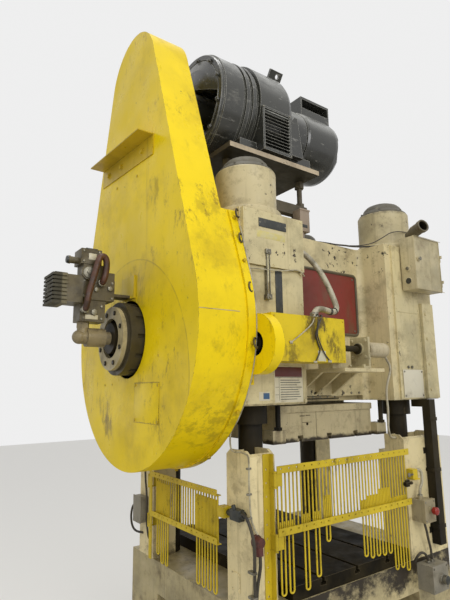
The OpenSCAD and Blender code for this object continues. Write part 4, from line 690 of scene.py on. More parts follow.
# Name strips: two bare strips of dark engraved plastic, the upper one on screws, and the band
# of yellow that was sprayed under it.
black_plastic = mottled("black_plastic", (44, 46, 42), 0.42, 0.0, ((84, 80, 66), 30, 6, 0.50, 0.72, 0.6),
                        (80, 3, 0.0008), (0.28, 0.6, 40, 4))
build("name_strips", black_plastic,
      blocks=[((-704, -629, 2488), (-520, -625.8, 2534), 0.8),
              ((-592, -614.6, 2062), (-546, -611.8, 2277), 0.5)])
build("name_strip_screws", zinc, rods=[
    (FRONT, 4.5, 2, 14, 1, (-697, -628.8, 2511), (-527, -628.8, 2511))])
overspray = mottled("yellow_overspray", (198, 184, 112), 0.5, 0.0,
                    ((196, 186, 140), 26, 6, 0.42, 0.6, 0.9, 0.7), (60, 3, 0.0005))
build("yellow_overspray", overspray,
      blocks=[((-716, -626.5, 2432), (-528, -625.8, 2468), 0.3)])

# Oil sight gauge: a glass tube between two blocks in a narrow steel guard, down the left pier.
glass = Finish("gauge_glass", (128, 112, 66), 0.12)
glass.coat(glass.band(glass.along("Z"), 2.20, 2.215), (178, 168, 128))
glass.gloss(0.06, 0.25, 50, 3)
glass = glass.done()
build("sight_gauge_body", zinc,
      blocks=[((-668, -640, 2120), (-636, -611.8, 2146), 2), ((-668, -640, 2350), (-636, -611.8, 2376), 2),
              ((-663, -634, 2146), (-660, -616, 2350), 0.6), ((-644, -634, 2146), (-641, -616, 2350), 0.6)],
      rods=[(FRONT, 10, 6, 6, 1, (-652, -640, 2133), (-652, -640, 2363))])
build("sight_gauge_glass", glass, rods=[(UP, 6.2, 212, 20, 0, (-652, -627, 2142))])


# Blank plates: a two-coloured sign plate and a small sticker on the left pier, and a pale
# plate on the right pier. They are bare, and screwed or stuck on.
def plate_paint(name, colour, dirt, scuffed=0.5):
    coat = Finish(name, colour, 0.42)
    coat.patches(dirt, 9, 7, 0.50, 0.78, scuffed, 0.7)
    coat.patches(shade(dirt, 0.4), 34, 7, 0.66, 0.70, 0.8, 0.75, (1, 1, 0.5))
    coat.gloss(0.3, 0.6, 20, 4)
    coat.grain(50, 3, 0.0006)
    return coat.done()


pale_panel = plate_paint("pale_plate", (198, 190, 164), (128, 112, 78), 0.8)
header_red = plate_paint("header_band_paint", (86, 34, 28), (70, 44, 32))
band_blue = plate_paint("sticker_band_paint", (52, 84, 116), (70, 84, 76))
build("sign_plate", pale_panel, blocks=[((-617, -613.6, 1622), (-428, -611.9, 1797), 0.6)])
build("sign_header", header_red, blocks=[((-613, -614.3, 1745), (-432, -613.4, 1793), 0.4)])
rules = [((-613, -614.0, 1741.5), (-432, -613.4, 1743.5)), ((-588, -614.0, 1630), (-586.5, -613.4, 1741)),
         ((-613, -614.0, 1658), (-587, -613.4, 1659.6)), ((-613, -614.0, 1694), (-587, -613.4, 1695.6))]
for i in range(9):
    z = 1727 - 11.5 * i
    rules.append(((-579, -613.9, z), (-452 + 17 * (i * 3 % 2) - 9 * (i % 3), -613.5, z + 3.2)))
build("sign_rules", black_plastic, blocks=rules)
build("sticker", pale_panel, blocks=[((-713, -612.8, 1632), (-646, -611.9, 1674), 0.3)])
build("sticker_band", band_blue, blocks=[((-688, -613.3, 1640), (-650, -612.7, 1668), 0.2)])
lube_panel = plate_paint("lube_plate", (204, 197, 174), (118, 102, 70), 0.85)
build("pale_plate", lube_panel, blocks=[((424, -614.6, 1622), (628, -611.5, 1792), 1)])
build("pale_plate_screws", zinc, rods=[
    (FRONT, 6, 3, 16, 1.2, *every((436, 616), [-614.4], (1634, 1780))),
    (FRONT, 9, 6, 6, 1.2, (484, -611.5, 1808), (522, -611.5, 1808))])

# Nameplate: a bare cast plate in faded red, in a dark frame with a rounded edge, screwed to
# the back of the recess. Dust and oil have dulled it in patches and streaks.
red_paint = Finish("nameplate_red", (128, 50, 40), 0.5, 0.0, 0.35)
red_paint.patches((108, 50, 40), 2.2, 5, 0.4, 0.65, 0.8)
red_paint.patches((104, 78, 56), 6, 8, 0.46, 0.68, 0.75, 0.74, (1, 1, 0.35))
red_paint.patches((70, 50, 38), 44, 6, 0.64, 0.68, 0.8, 0.75)
red_paint.gloss(0.32, 0.62, 14, 4)
red_paint.grain(24, 4, 0.0015)
dress(red_paint.done(), "nameplate")
frame_grey = worn_paint("nameplate_frame_grey", (92, 84, 64), (52, 46, 34), (140, 128, 98), stained=0.5,
                        chipped=0.4, runs=0.2, edge=0.002)
dress(frame_grey, "nameplate_frame")
border = bmesh.new()
reach_x, reach_z, corner, bead = 0.282, 0.166, 0.026, 0.0068
rings = []
for quarter, (side, rise) in enumerate(((1, 1), (1, -1), (-1, -1), (-1, 1))):
    centre = at(-30, -410.5, 2202) + Vector((side * reach_x, 0, rise * reach_z))
    for degrees in range(90 * quarter, 90 * quarter + 91, 15):
        out = Vector((math.sin(math.radians(degrees)), 0, math.cos(math.radians(degrees))))
        rings.append([border.verts.new(centre + out * (corner + bead * math.cos(math.radians(turn)))
                                       + Vector((0, bead * math.sin(math.radians(turn)), 0)))
                      for turn in range(0, 360, 30)])
for ring, after in zip(rings, rings[1:] + rings[:1]):
    for i in range(12):
        border.faces.new((ring[i - 1], ring[i], after[i], after[i - 1]))
solid("nameplate_border", border, frame_grey)
build("nameplate_screws", zinc, rods=[
    (FRONT, 7, 3, 16, 1.2, *every((-310, 250), [-406.6], (2036, 2368)))])


# Drive guard: folded and welded sheet steel over the flywheel, belts and motor sheave, in
# bright yellow. It has scrapes along its folds, dark smears low down and dull handled areas.
def yellow_paint(name, colour, dirt, bare, grimy, chipped, edge, rough=0.34, smears=(), rubbed_ring=None):
    """Safety yellow with grime, runs and chips. smears gives dirty spots: place, size in metres and
    strength. rubbed_ring gives the centre and the radii of a dull ring on the left face."""
    coat = Finish(name, colour, rough, 0.0, 0.25)
    light = shade(colour, 1.06, 3)
    dull = blend(colour, dirt, 0.25)
    coat.patches(light, 1.1, 4, 0.40, 0.60, 0.8)
    coat.patches(dull, 2.4, 7, 0.46, 0.68, 0.9, 0.66, shift=(4, 2, 1))
    coat.patches(dirt, 2.6, 9, 0.62 - 0.2 * grimy, 0.92 - 0.2 * grimy, 0.9 * grimy + 0.1, 0.76,
                 shift=(0, 6, 2))
    coat.patches(dirt, 8, 6, 0.58, 0.76, 0.5 * grimy + 0.1, 0.66, (2.2, 2.2, 0.12))
    coat.patches(light, 13, 7, 0.60, 0.70, 0.4, 0.72, (2.5, 0.3, 0.5), (3, 3, 3))
    coat.coat(coat.times(coat.cloud(19, 9, 0.53, 0.64, 0.85, 0.8, (1, 1, 0.5), (5, 5, 5)),
                         coat.cloud(1.7, 3, 0.48, 0.62, shift=(8, 1, 4))), dirt)
    if rubbed_ring:
        centre, inner, outer = rubbed_ring
        far = coat.distance(centre)
        handled = coat.times(coat.facing("X", -0.5, -0.9), coat.cloud(6, 6, 0.3, 0.6, 0.6, 0.7))
        inside = coat.band(far, outer, outer + 0.004, 0.0, 1.0)
        ring = coat.times(coat.band(far, inner, outer, 0.6), inside)
        coat.coat(coat.times(ring, handled), dull)
        ring_edge = coat.times(coat.band(far, outer - 0.008, outer), inside)
        coat.coat(coat.times(ring_edge, handled), dirt)
    for spot, size, amount in smears:
        broken = coat.join("ADD", coat.noise(14, 8, 0.74, (1, 1.6, 0.6), (6, 1, 2)),
                           coat.times(coat.near(spot, size), 0.10 + 0.08 * amount))
        smear = coat.band(broken, 0.57, 0.72, amount)
        coat.coat(coat.times(smear, coat.near(spot, size * 1.4)), shade(dirt, 0.8))
    coat.patches(shade(dirt, 0.75), 52, 6, 0.64, 0.70, 0.25 + 0.5 * grimy, 0.74)
    chips = coat.times(coat.cloud(22, 8, 0.675 - 0.06 * chipped, 0.69 - 0.06 * chipped, 1.0, 0.78),
                       coat.cloud(2.3, 3, 0.48, 0.62, shift=(7, 7, 0)))
    worn_edge = coat.times(coat.edges(edge), coat.cloud(17, 6, 0.46, 0.56, 1.0, 0.75))
    chips = coat.join("MAXIMUM", chips, worn_edge)
    coat.coat(chips, bare)
    coat.gloss(rough - 0.12, rough + 0.16, 5, 6)
    coat.grain(3.2, 3, 0.012, 0.12)
    coat.relieve(chips, 0.0008, 0.4, True)
    return coat.done()


guard_yellow = yellow_paint("guard_yellow", (226, 197, 8), (146, 118, 26), (84, 70, 30), 0.36, 0.5, 0.004,
                            rubbed_ring=((-1109, 0, 1750), 0.40, 0.632),
                            smears=(((-1109, 300, 1590), 0.17, 0.55), ((-1109, 250, 1480), 0.12, 0.7),
                                    ((-1109, -350, 1500), 0.12, 0.5), ((-1109, -60, 2200), 0.25, 0.45),
                                    ((-1109, 200, 2120), 0.16, 0.5), ((-1109, -250, 2700), 0.14, 0.5),
                                    ((-1000, -620, 2330), 0.2, 0.25), ((-960, -700, 1900), 0.16, 0.3),
                                    ((-960, -560, 2560), 0.14, 0.35), ((-900, -600, 1500), 0.32, 0.45)))
dress(guard_yellow, "drive_guard", "disc_guard")
bracket_yellow = yellow_paint("bracket_yellow", (190, 162, 30), (118, 96, 28), (72, 60, 30), 0.6, 0.5, 0.003)
dress(bracket_yellow, "angle_bracket")

# Access panel: a thin sheet cover on the guard's face, painted with it, under four screws,
# with a dirty seam round it, and the other screws of that face.
build("guard_panel", guard_yellow, blocks=[((-1111.4, -362, 1532), (-1109.2, -98, 1722), 0.6)])
build("guard_panel_seam", bracket_yellow,
      blocks=[((-1109.9, -366, 1528), (-1109.1, -362, 1726)), ((-1109.9, -98, 1528), (-1109.1, -94, 1726)),
              ((-1109.9, -362, 1722), (-1109.1, -98, 1726)), ((-1109.9, -362, 1528), (-1109.1, -98, 1532))])
build("guard_panel_screws", bracket_yellow, rods=[
    (LEFT, 7.5, 3.5, 16, 1.5, *every([-1111], (-352, -108), (1542, 1712))),
    (LEFT, 6, 3, 16, 1.2, (-1109, 196, 1718), (-1109, 300, 1716), (-1109, -352, 1850)),
    (LEFT, 9, 4, 6, 1.5, (-1109, -70, 2860), (-1109, 210, 2885))])

# Rim weld: the thin bright line where two sheets of the rim were butted and ground.
build("guard_rim_weld", wire_pale, blocks=[((-1106, -706.4, 2030), (-890, -704.6, 2033), 0.6)])

# Bracket bolts: three hex bolts with washers through the folded angle, which leans with the
# guard's top.
lean = math.radians(4)
bolts = [(75 + run * math.cos(lean) + 55 * math.sin(lean), 3045 + run * math.sin(lean) - 55 * math.cos(lean))
         for run in (-220, 60, 250)]
build("angle_bracket_bolts", bracket_yellow, rods=[
    (LEFT, 21, 3, 28, 1, *((-1115.3, y, z) for y, z in bolts)),
    (LEFT, 14.5, 10.5, 6, 2, *((-1118.3, y, z) for y, z in bolts))])

# Guard bolts and hooks: the bolts in the flange, and bent rod hooks that latch the guard's
# back edge to the crown.
dress(bracket_yellow, "guard_bolts")
iron_rod = mottled("hook_iron", (92, 80, 44), 0.5, 0.3, ((54, 46, 28), 40, 5, 0.45, 0.6), (90, 3, 0.001))
for number, (y, z) in enumerate(((-597, 2540), (-622, 2409), (-690, 2154), (-718, 1892)), 1):
    bends = [(-806, y + 8, z + 22), (-822, y - 4, z + 21), (-830, y - 9, z + 6),
             (-828, y - 11, z - 14), (-818, y - 10, z - 24), (-809, y - 6, z - 18)]
    bent_bar("guard_hook_%d" % number, smooth(bends, 5), 4.8, 2, iron_rod)

# Flywheel, clutch drum and shaft parts inside the guard: turned cast iron, oily and dark.
dress(dark_oil, "flywheel", "crankshaft", "connecting_rods", "cam_shaft", "motor_sheave", "cam_chain")
drum_iron = worn_paint("clutch_drum_iron", (68, 60, 38), (46, 40, 26), (132, 122, 92), stained=0.7,
                       chipped=0.3, runs=0.1, rough=0.46, edge=0.003)
dress(drum_iron, "clutch_drum")
ring_paint = worn_paint("clutch_ring_paint", (178, 164, 124), (74, 64, 42), (58, 50, 36), stained=0.6,
                        chipped=0.4, runs=0.1, rough=0.44, edge=0.003)
dress(ring_paint, "clutch_ring")

# Clutch ring screws: socket head cap screws round the ring, and black discs on their heads that paint the
# shade in their sockets.
build("clutch_ring_screws", dark_oil, body="flywheel", rods=[
    (LEFT, 12.5, 6, 20, 1.5, *circle(-1209.3, 0, 1955, 138, 8, 22.5))])
build("clutch_ring_socket_shade", black_plastic, body="flywheel", rods=[
    (LEFT, 6, 0.6, 6, 0, *circle(-1215, 0, 1955, 138, 8, 22.5))])

# Rotary union and air valve: cast bodies in the press's beige, dark with oil, with a pilot
# head, plugs, hex fittings and tie screws.
valve_paint = worn_paint("union_paint", (142, 128, 96), (62, 52, 36), (44, 38, 30), stained=0.8, chipped=0.6,
                         runs=0.4, rough=0.42, edge=0.003)
dress(valve_paint, "rotary_union")


def mounted_on_guard(coat):
    """The valve's mounting plate was sprayed with the guard."""
    coat.coat(coat.band(coat.along("X"), -0.757, -0.755), (202, 176, 26))


valve_look = worn_paint("valve_paint", (100, 90, 64), (46, 38, 24), (42, 36, 28), stained=0.85, chipped=0.6,
                        runs=0.4, rough=0.42, edge=0.003, extra=mounted_on_guard)
dress(valve_look, "valve_body")
build("valve_fittings", zinc, rods=[
    (FRONT, 29, 6, 32, 2, (-1362.3, -71.5, 2276)),
    (FRONT, 11, 7, 6, 1.5, (-1362.3, -77, 2276)),
    (FRONT, 7.5, 6, 6, 1.2, *every((-1373.3, -1281.3), [-49.5], (2046, 2110)),
     *every((-1379.3, -1229.3), [-55.5], (2156, 2236))),
    (FRONT, 6.5, 5, 6, 1.2, *every((-1383.3, -1303.3), [-53.5], (2338, 2392))),
    (FRONT, 17, 12, 6, 2, (-1321.3, -49.5, 2078)),
    (FRONT, 13, 10, 6, 2, (-1315.3, -55.5, 2194)),
    (FRONT, 14, 12, 6, 2, (-1243.3, -55.5, 2206)),
    (LEFT, 6.5, 4, 6, 1, *every([-1468.1], (-51, 51), (2134, 2244))),
    (RIGHT, 5, 4, 6, 0, *circle(-1247, 0, 1955, 41, 6))])
build("valve_blank_tags", pale_panel,
      blocks=[((-1365.3, -52, 2042), (-1299.3, -49.6, 2064), 0.6),
              ((-1359.3, -56, 2348), (-1319.3, -53.6, 2382), 0.6)])
build("valve_coil_cap", black_plastic,
      blocks=[((-1371.3, -44, 2404.5), (-1307.3, 44, 2413), 3)],
      rods=[(LEFT, 19.5, 10, 24, 4, (-1447.3, 0, 2348))])


# Silencer: a die-cast block with fins, dull grey and dusty, screwed on the valve's end.
def sooty_fins(coat):
    """Exhaust oil has blackened the silencer's fins."""
    coat.coat(coat.band(coat.along("X"), -1.130, -1.124, 0.0, 0.8), (44, 42, 32))


silencer_grey = worn_paint("silencer_grey", (108, 101, 79), (58, 52, 40), (152, 146, 120), stained=0.6,
                           chipped=0.3, runs=0.2, rough=0.6, edge=0.0015, extra=sooty_fins)
dress(silencer_grey, "valve_silencer")
build("silencer_screws", silencer_grey, rods=[
    (LEFT, 7, 13, 6, 1, *every([-1528], (-52, 52), (2118, 2252))),
    (LEFT, 30, 10.5, 32, 2, (-1528.4, 0, 2185))])

# Belts and bearings inside the press: black rubber belts, bronze bushes and gibs.
dress(sheath("belt_rubber", (34, 33, 31), (60, 56, 50), 0.7), "v_belts")
bronze = mottled("bearing_bronze", (152, 116, 62), 0.3, 0.85, ((84, 66, 40), 8, 6, 0.46, 0.66),
                 (60, 3, 0.0006), (0.2, 0.45, 16, 4))
dress(bronze, "main_bearings", "slide_gibs")

# Motor stand and plate: steel beams and threaded posts on the crown, with a thick plate on
# top. The stand is dark; the plate has painted shade on its underside and left end, and paint worn off its
# edge.
stand_paint = worn_paint("stand_paint", (84, 76, 58), (44, 38, 28), (138, 124, 96), stained=0.6, chipped=0.4,
                         runs=0.3, rough=0.5)
dress(stand_paint, "motor_stand")


def painted_shade_below(coat):
    """Painted shade: the plate's underside darkened, and its left-facing end a little less."""
    coat.coat(coat.facing("Z", -0.3, -0.8), (50, 46, 33))
    coat.coat(coat.facing("X", -0.3, -0.8), (70, 62, 46))


plate_look = worn_paint("motor_plate_paint", (178, 162, 136), (84, 70, 52), (56, 48, 38), stained=0.5,
                        chipped=1.0, runs=0.2, rough=0.5, extra=painted_shade_below)
dress(plate_look, "motor_base_plate")

# Motor: a large cast frame in black enamel, its upward faces grey with dust and a painted sheen,
# and polished where hands and weather have rubbed it. Bolts ring its drive end.
enamel = Finish("motor_enamel", (38, 38, 33), 0.22, 0.0, 0.8)
enamel.patches((50, 50, 44), 1.4, 4, 0.4, 0.62, 0.9)
enamel.patches((28, 27, 23), 3.2, 8, 0.50, 0.74, 0.8, 0.72, shift=(0, 3, 8))
# Upward faces lightened in patches: dust, and a painted highlight that stands in for the top lamp's sheen.
dust_and_sheen = enamel.times(enamel.facing("Z", 0.05, 0.85),
                     enamel.cloud(4.5, 8, 0.30, 0.58, 1.0, 0.72, (0.5, 1, 1), (3, 3, 3)))
enamel.coat(enamel.times(dust_and_sheen, 0.9), (182, 182, 176))
enamel.patches((124, 122, 112), 12, 8, 0.58, 0.70, 0.55, 0.76, (0.5, 1, 1))
enamel.patches((150, 148, 140), 30, 6, 0.60, 0.68, 0.5, 0.7, (0.4, 1.4, 1.4), (2, 9, 1))
enamel.coat(enamel.edges(0.006), (158, 156, 146))
enamel.gloss(0.14, 0.34, 6, 6, 0.68)
enamel.grain(9, 4, 0.004, 0.2)
enamel.grain(60, 4, 0.0008, 0.3)
enamel = enamel.done()
dress(enamel, "motor_body", "motor_drum", "motor_louvre")
build("motor_end_bolts", enamel, rods=[
    (LEFT, 12.5, 13, 6, 1.8, *circle(-704, 20, 3450, 311, 12, 15))])

# Louvre edges: bright strips on the slats' front lips and ends, painted highlights where the light catches
# them.
bright = mottled("painted_highlight_metal", (176, 176, 168), 0.3, 0.6, ((74, 74, 68), 40, 6, 0.5, 0.66, 0.8, 0.7),
                 (90, 3, 0.0006), (0.2, 0.5, 60, 4))
slats = [3131 + 22.1 * i for i in range(11)]
build("louvre_lip_highlights", bright,
      blocks=[((-412, -357, 3366), (-208, -352, 3370), 0.8),
              *(((-213, -357, z), (-207.5, -350, z + 5), 0.8) for z in slats)])

# Louvre and lug trim: screws at the louvre's corners, and the bolts through the motor's feet.
build("motor_trim_screws", zinc, rods=[
    (FRONT, 5.5, 4, 16, 1.5, *every((-418, -202), [-359.6], (3113, 3385))),
    (UP, 16, 12, 6, 2, *every((-80, 0), (-196, 236), [3146]))])

# Junction box: a small pressed steel box on the crown's top behind the left pier, with a
# black strip that paints the shade of a knockout slot, and a stub that carries it.
box_primer = worn_paint("junction_box_paint", (142, 126, 108), (76, 62, 48), (60, 50, 42), stained=0.5,
                        chipped=0.4, runs=0.4, edge=0.002)
build("junction_box", box_primer,
      blocks=[((-152, -366, 2640), (-70, -300, 2782), 3), ((-155, -369, 2774), (-67, -365, 2786), 1.5)],
      rods=[(UP, 17, 62, 24, 0, (-112, -333, 2580)), (UP, 30, 12, 6, 2, (-112, -333, 2580))])
# A black strip on the box's front: painted shade where the knockout slot opens.
build("junction_box_slot_shade", black_plastic,
      blocks=[((-136, -366.8, 2664), (-92, -365.4, 2684), 0.4)])

# Cam box and its bearing: thin folded yellow sheet over the limit cams, smeared with oil,
# with a steel bearing bracket, the cam shaft's end and a white encoder.
box_yellow = yellow_paint("cam_box_yellow", (210, 184, 28), (108, 88, 28), (62, 52, 26), 0.7, 0.8, 0.003,
                          smears=(((-440, -750, 1990), 0.15, 0.95), ((-380, -750, 1930), 0.12, 0.8),
                                  ((-640, -750, 1850), 0.10, 0.7), ((-300, -750, 1850), 0.08, 0.8)))
dress(box_yellow, "cam_box_cover")
patch_paint = plate_paint("pale_patch", (196, 190, 160), (150, 134, 92), 0.5)
build("cam_box_patch", patch_paint, blocks=[((-452, -751, 1817), (-398, -749.9, 1868), 0.3)])
build("wire_tape", wire_pale,
      blocks=[((-486, -759, 1806), (-466, -749.8, 1818), 3), ((-386, -759, 1811), (-364, -749.8, 1824), 3),
              ((-640, -759, 1894), (-622, -749.8, 1908), 3)])
build("conduit_ties", black_plastic, rods=[
    ((1, 0.1, 0), 19.5, 5, 24, 1, (-250, -652, 2091), (-238, -648, 2091)),
    ((1, 0, 0.3), 19.5, 5, 24, 1, (-190, -636, 2098))])
build("cam_box_screws", bracket_yellow, rods=[
    (UP, 6, 3.5, 16, 1.5, *every((-726, -498, -268), [-700], [2034.5])),
    (FRONT, 5.5, 3.5, 16, 1.5, (-728, -749.6, 2022), (-262, -749.6, 2022), (-262, -749.6, 1820),
     (-600, -749.6, 1820)),
    (FRONT, 12.5, 2, 24, 0.8, (-782, -633.8, 2058), (-782, -633.8, 1724)),
    (FRONT, 9.5, 8, 6, 1.5, (-782, -635.6, 2058), (-782, -635.6, 1724))])
bracket_paint = worn_paint("bearing_bracket_paint", (186, 174, 134), (86, 72, 50), (46, 40, 30), stained=0.6,
                           chipped=0.4, runs=0.5, edge=0.003)
dress(bracket_paint, "cam_bearing_bracket")
build("bearing_seal", dark_oil, rods=[(LEFT, (30, 27), 6, 32, 0, (-93, -697, 1892))])
build("bearing_screws", bracket_paint, rods=[
    (LEFT, 10, 8, 6, 1.5, *every([-81], (-741, -653), (1936, 1848))),
    (UP, 9, 8, 6, 1.5, (-112, -750, 1799.5), (-112, -660, 1799.5)),
    (FRONT, 5.5, 3, 12, 1, (-72, -759, 1840), (-72, -759, 1866))])
encoder_white = worn_paint("encoder_white_paint", (170, 158, 128), (104, 90, 62), (70, 62, 48), stained=0.5,
                           chipped=0.6, runs=0.2, edge=0.002)
dress(encoder_white, "encoder")
build("encoder_bands", encoder_white, rods=[
    (RIGHT, 42.5, 4, 40, 1, (-20, -697, 1892), (122, -697, 1892)),
    (RIGHT, 42.2, 3, 40, 1, (80, -697, 1892))])
build("encoder_plug", black_plastic, rods=[
    ((0.05, -0.02, -1), 11.5, 34, 20, 2, (140, -697, 1918)),
    ((0.12, -0.04, -1), (9.8, 6.8), 28, 20, 0, (141.5, -697.6, 1886))])

# Gates: welded frames of perforated angle with rods on a fixed pitch, sprayed yellow more
# than once, dirty where hands lift them. Hairpin rods hang in the holes at chosen heights.
gate_yellow = yellow_paint("gate_yellow", (204, 178, 40), (98, 82, 30), (74, 62, 30), 0.62, 0.6, 0.002, 0.4)
dress(gate_yellow, "gate_posts", "front_gate", "side_gate", "front_gate_hairpins", "side_gate_hairpins")

# Gate switches: yellow interlock blocks on the frame beside each gate's free edge, with black
# cable plugs, a steel key plate on the gate and a latch with a spring. The left gate's lead
# ends in a dark red socket on the corner.
dress(gate_yellow, "interlock_switches")
build("front_gate_key", zinc, body="gate_front",
      blocks=[((348, -650, 1178), (366, -644, 1200), 1), ((364, -648.6, 1184), (398, -645.4, 1194), 0.8)])
build("front_gate_latch", oily_steel, body="gate_front",
      blocks=[((318, -653, 1128), (352, -643, 1166), 1.5)],
      rods=[(RIGHT, 6.5, 62, 18, 1, (312, -650, 1146)),
            (RIGHT, 12.5, 7, 24, 2, (308, -650, 1146)),
            (RIGHT, 8.8, 1.1, 16, 0, *((354 + 2.2 * i, -650, 1146) for i in range(9)))])
build("switch_plugs", black_plastic,
      blocks=[((428, -640, 1164), (456, -604, 1196), 4), ((-806, -560, 1098), (-769.5, -486, 1150), 6)],
      rods=[((0.2, -0.05, 1), 13.5, 18, 20, 2, (445, -622, 1188)),
            (LEFT, 15, 14, 20, 2, (445, -622, 1180)),
            ((0.02, -1, 0.1), 16.5, 30, 20, 3, (-788, -548, 1128)),
            (BACK, 15, 42, 20, 3, (-788, -500, 1124)),
            ((-0.2, 0.1, 1), 10, 22, 16, 2, (-800, -520, 1146))])
dark_red = sheath("dark_red_plastic", (84, 38, 30), (50, 38, 28), 0.5)
build("corner_socket", dark_red, rods=[
    (FRONT, 28, 12, 32, 2, (-742, -600, 1022)),
    ((0, -1, -0.12), 23.5, 30, 32, 4, (-742, -611, 1022)),
    ((0, -0.2, -1), (21, 16), 60, 28, 0, (-742, -616, 1024))])
cable("socket_lead", [
    (-742, -628, 968), (-742, -629, 952), (-743, -630, 925), (-748, -628, 890), (-755, -624, 850),
    (-760, -622, 800), (-762, -622, 755), (-763, -622, 724), (-763, -621, 716.5)],
    7.5, wire_dark)
build("switch_shelf", gate_yellow, blocks=[((404, -652, 1156), (456, -601, 1162), 1)])

# Cable clips: bent strip clips that hold the guard's lead and the conduits on the upright.
build("cable_clips", zinc,
      blocks=[*(((-792, -612.5, z), (-768, -600, z + 9), 1.5) for z in (1330, 1220, 1120)),
              *(((-792, -642, z), (-769, -600, z + 11), 1.5) for z in (900, 800))])


# Stop button box: a die-cast box in the press's beige with a lid on four screws, a red
# mushroom button and a conduit gland on top.
def dome(name, place, radius, depth, look, body):
    """A button's face: a ball made thinner from front to back."""
    grid = bmesh.new()
    verts = bmesh.ops.create_uvsphere(grid, u_segments=36, v_segments=18, radius=radius / 1000)["verts"]
    bmesh.ops.scale(grid, verts=verts, vec=(1, depth, 1))
    bmesh.ops.translate(grid, verts=verts, vec=at(*place))
    solid(name, grid, look, body)


stop_paint = worn_paint("stop_box_paint", (160, 148, 116), (88, 74, 52), (60, 52, 42), stained=0.5,
                        chipped=0.4, runs=0.4, edge=0.002)
dress(stop_paint, "stop_box")
gloss_red = mottled("stop_button_red", (140, 34, 26), 0.36, 0.0, ((112, 34, 28), 20, 5, 0.5, 0.75, 0.6),
                    (60, 3, 0.0006), (0.18, 0.42, 30, 4))
dress(gloss_red, "stop_button")
build("button_box_fittings", zinc, rods=[
    (FRONT, 5.2, 3, 16, 1.2, *every((433, 517), [-687.5], (935, 1035))),
    (UP, 15.5, 9, 6, 1.5, (459, -640, 1062)),
    (DOWN, 13.5, 10, 6, 1.5, (482, -640, 924)),
    (FRONT, 6, 3, 16, 1.2, *every((447, 570), [-699.5], (570, 683))),
    (UP, 14.5, 12, 6, 1.5, (487, -640, 696), (526, -640, 696)),
    (FRONT, 30, 4, 36, 1.5, (512.5, -713, 624))])
dome("stop_button_dome", (475, -729, 991), 21.5, 0.42, gloss_red, "stop")

# Push button box: a grey cast box with a large guarded push button, used with both hands.
grey_box = worn_paint("palm_box_paint", (140, 134, 118), (80, 72, 54), (70, 64, 54), stained=0.45,
                      chipped=0.35, runs=0.3, edge=0.002)
dress(grey_box, "palm_box")
dress(zinc, "palm_button")
dome("palm_button_pad", (514.5, -737, 624), 23.8, 0.26, black_plastic, "palm")

# Control box: a folded steel box on the right pier, open behind its hinged door. It has a door
# lock, a lamp plug and, on its left side, a black disc that paints the shade of an open hole.
ctl_paint = worn_paint("control_box_paint", (184, 172, 136), (104, 88, 58), (58, 50, 40), stained=0.36,
                       chipped=0.6, runs=0.35, edge=0.003)
dress(ctl_paint, "control_door")
shell = build("control_box_shell", ctl_paint,
              blocks=[((475, -626, 2286), (755, -622, 2624), 1),
                      ((475, -724, 2286), (478, -625, 2624), 0.8),
                      ((752, -724, 2286), (755, -625, 2624), 0.8),
                      ((477, -724, 2286), (753, -625, 2289), 0.8),
                      ((477, -724, 2621), (753, -625, 2624), 0.8),
                      ((754, -723, 2346), (762, -720, 2364), 0.6),
                      ((754, -723, 2514), (762, -720, 2532), 0.6)],
              rods=[(UP, 6, 18, 20, 0.8, (762, -727, 2346), (762, -727, 2514))])
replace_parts(shell, "control_box")
build("control_box_plug", ctl_paint, rods=[
    (LEFT, 18.5, 7, 32, 2, (475.3, -668, 2420)),
    (LEFT, 22.5, 2, 32, 0.8, (475.3, -668, 2341))])
build("control_box_plug_screw", zinc, rods=[(LEFT, 12.5, 4, 6, 1, (468.5, -668, 2420))])
# Painted shade: a black disc where the open hole in the box's side shows dark.
build("control_box_hole_shade", black_plastic, rods=[(LEFT, 18.8, 3.6, 32, 0, (474.5, -668, 2341))])
build("door_lock", zinc, body="door", blocks=[((507.6, -742.4, 2468), (510.4, -740.5, 2484), 0.4)],
      rods=[(FRONT, 12.5, 2.5, 28, 1, (509, -738.5, 2476))])
build("door_folds", ctl_paint, body="door",
      blocks=[((473, -729.4, 2284), (768, -727.4, 2287.5), 0.6),
              ((473, -729.4, 2622.5), (768, -727.4, 2626), 0.6)])

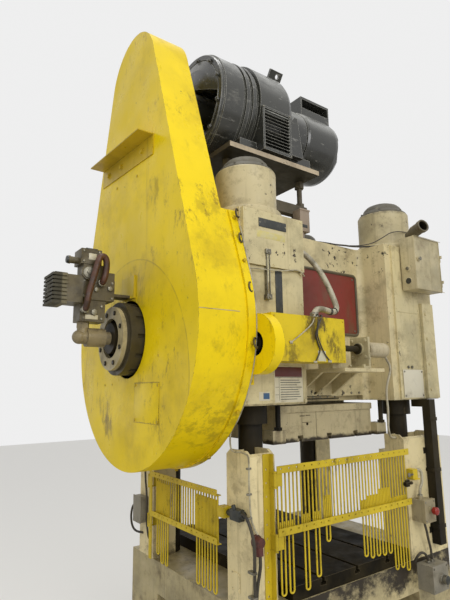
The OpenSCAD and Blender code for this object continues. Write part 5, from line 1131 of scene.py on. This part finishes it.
# Conduit body: a cast elbow and a short open pipe on the box's top, dull, with a dark sleeve in its bore that
# paints the shade inside it.
pipe_dull = worn_paint("pipe_dull", (98, 90, 70), (50, 43, 30), (150, 142, 116), stained=0.6, chipped=0.5,
                       runs=0.2, edge=0.002)
foot, mouth = at(530, -660, 2650), at(495, -780, 2673)
spout = bmesh.new()
turned(spout, ((0, 0), (24, 0), (27, 18), (34, 40), (37, 46), (37, 108), (40, 112), (41, 114), (41, 134),
               (39, 136), (34, 136), (32, 134), (32, 74), (0, 74)), (0, 0, 0), 40)
bmesh.ops.transform(spout, verts=spout.verts, matrix=aimed(foot, mouth - foot))
rod(spout, (530, -660, 2622), UP, 22, 26, 32)
rod(spout, (530, -660, 2623.5), UP, 30, 6, 6, 1.2)
bmesh.ops.create_uvsphere(spout, u_segments=32, v_segments=16, radius=0.0268,
                          matrix=Matrix.Translation(foot))
solid("open_pipe", spout, pipe_dull)
# A thin dark sleeve inside the pipe's bore: painted shade.
bore_shade = bmesh.new()
turned(bore_shade, ((0, 73.5), (32.1, 73.5), (32.1, 131), (30, 131), (30, 76), (0, 76)), (0, 0, 0), 40)
bmesh.ops.transform(bore_shade, verts=bore_shade.verts, matrix=aimed(foot, mouth - foot))
solid("open_pipe_bore_shade", bore_shade, oily_steel)

# Rear gate box: a grey box on the left rear upright, with its lid on four screws and a gland
# for its looped lead.
build("rear_gate_box", grey_box,
      blocks=[((-818, 402, 900), (-768.5, 500, 1048), 4), ((-822, 399, 897), (-817, 503, 1051), 2)],
      rods=[(LEFT, 5, 2.5, 16, 1, *every([-821.5], (409, 493), (908, 1040))),
            (BACK, 15, 14, 6, 1.5, (-795, 499, 985))])

# Cable duct: square steel trunking in dark oily paint down the right upright, with straps.
dress(dark_oil, "riser_pipe")
build("duct_straps", dark_oil,
      blocks=[((598, -658.5, 860), (672, -600.5, 882), 1.5), ((598, -658.5, 1180), (672, -600.5, 1202), 1.5),
              ((598, -658.5, 1480), (672, -640, 1502), 1.5)])
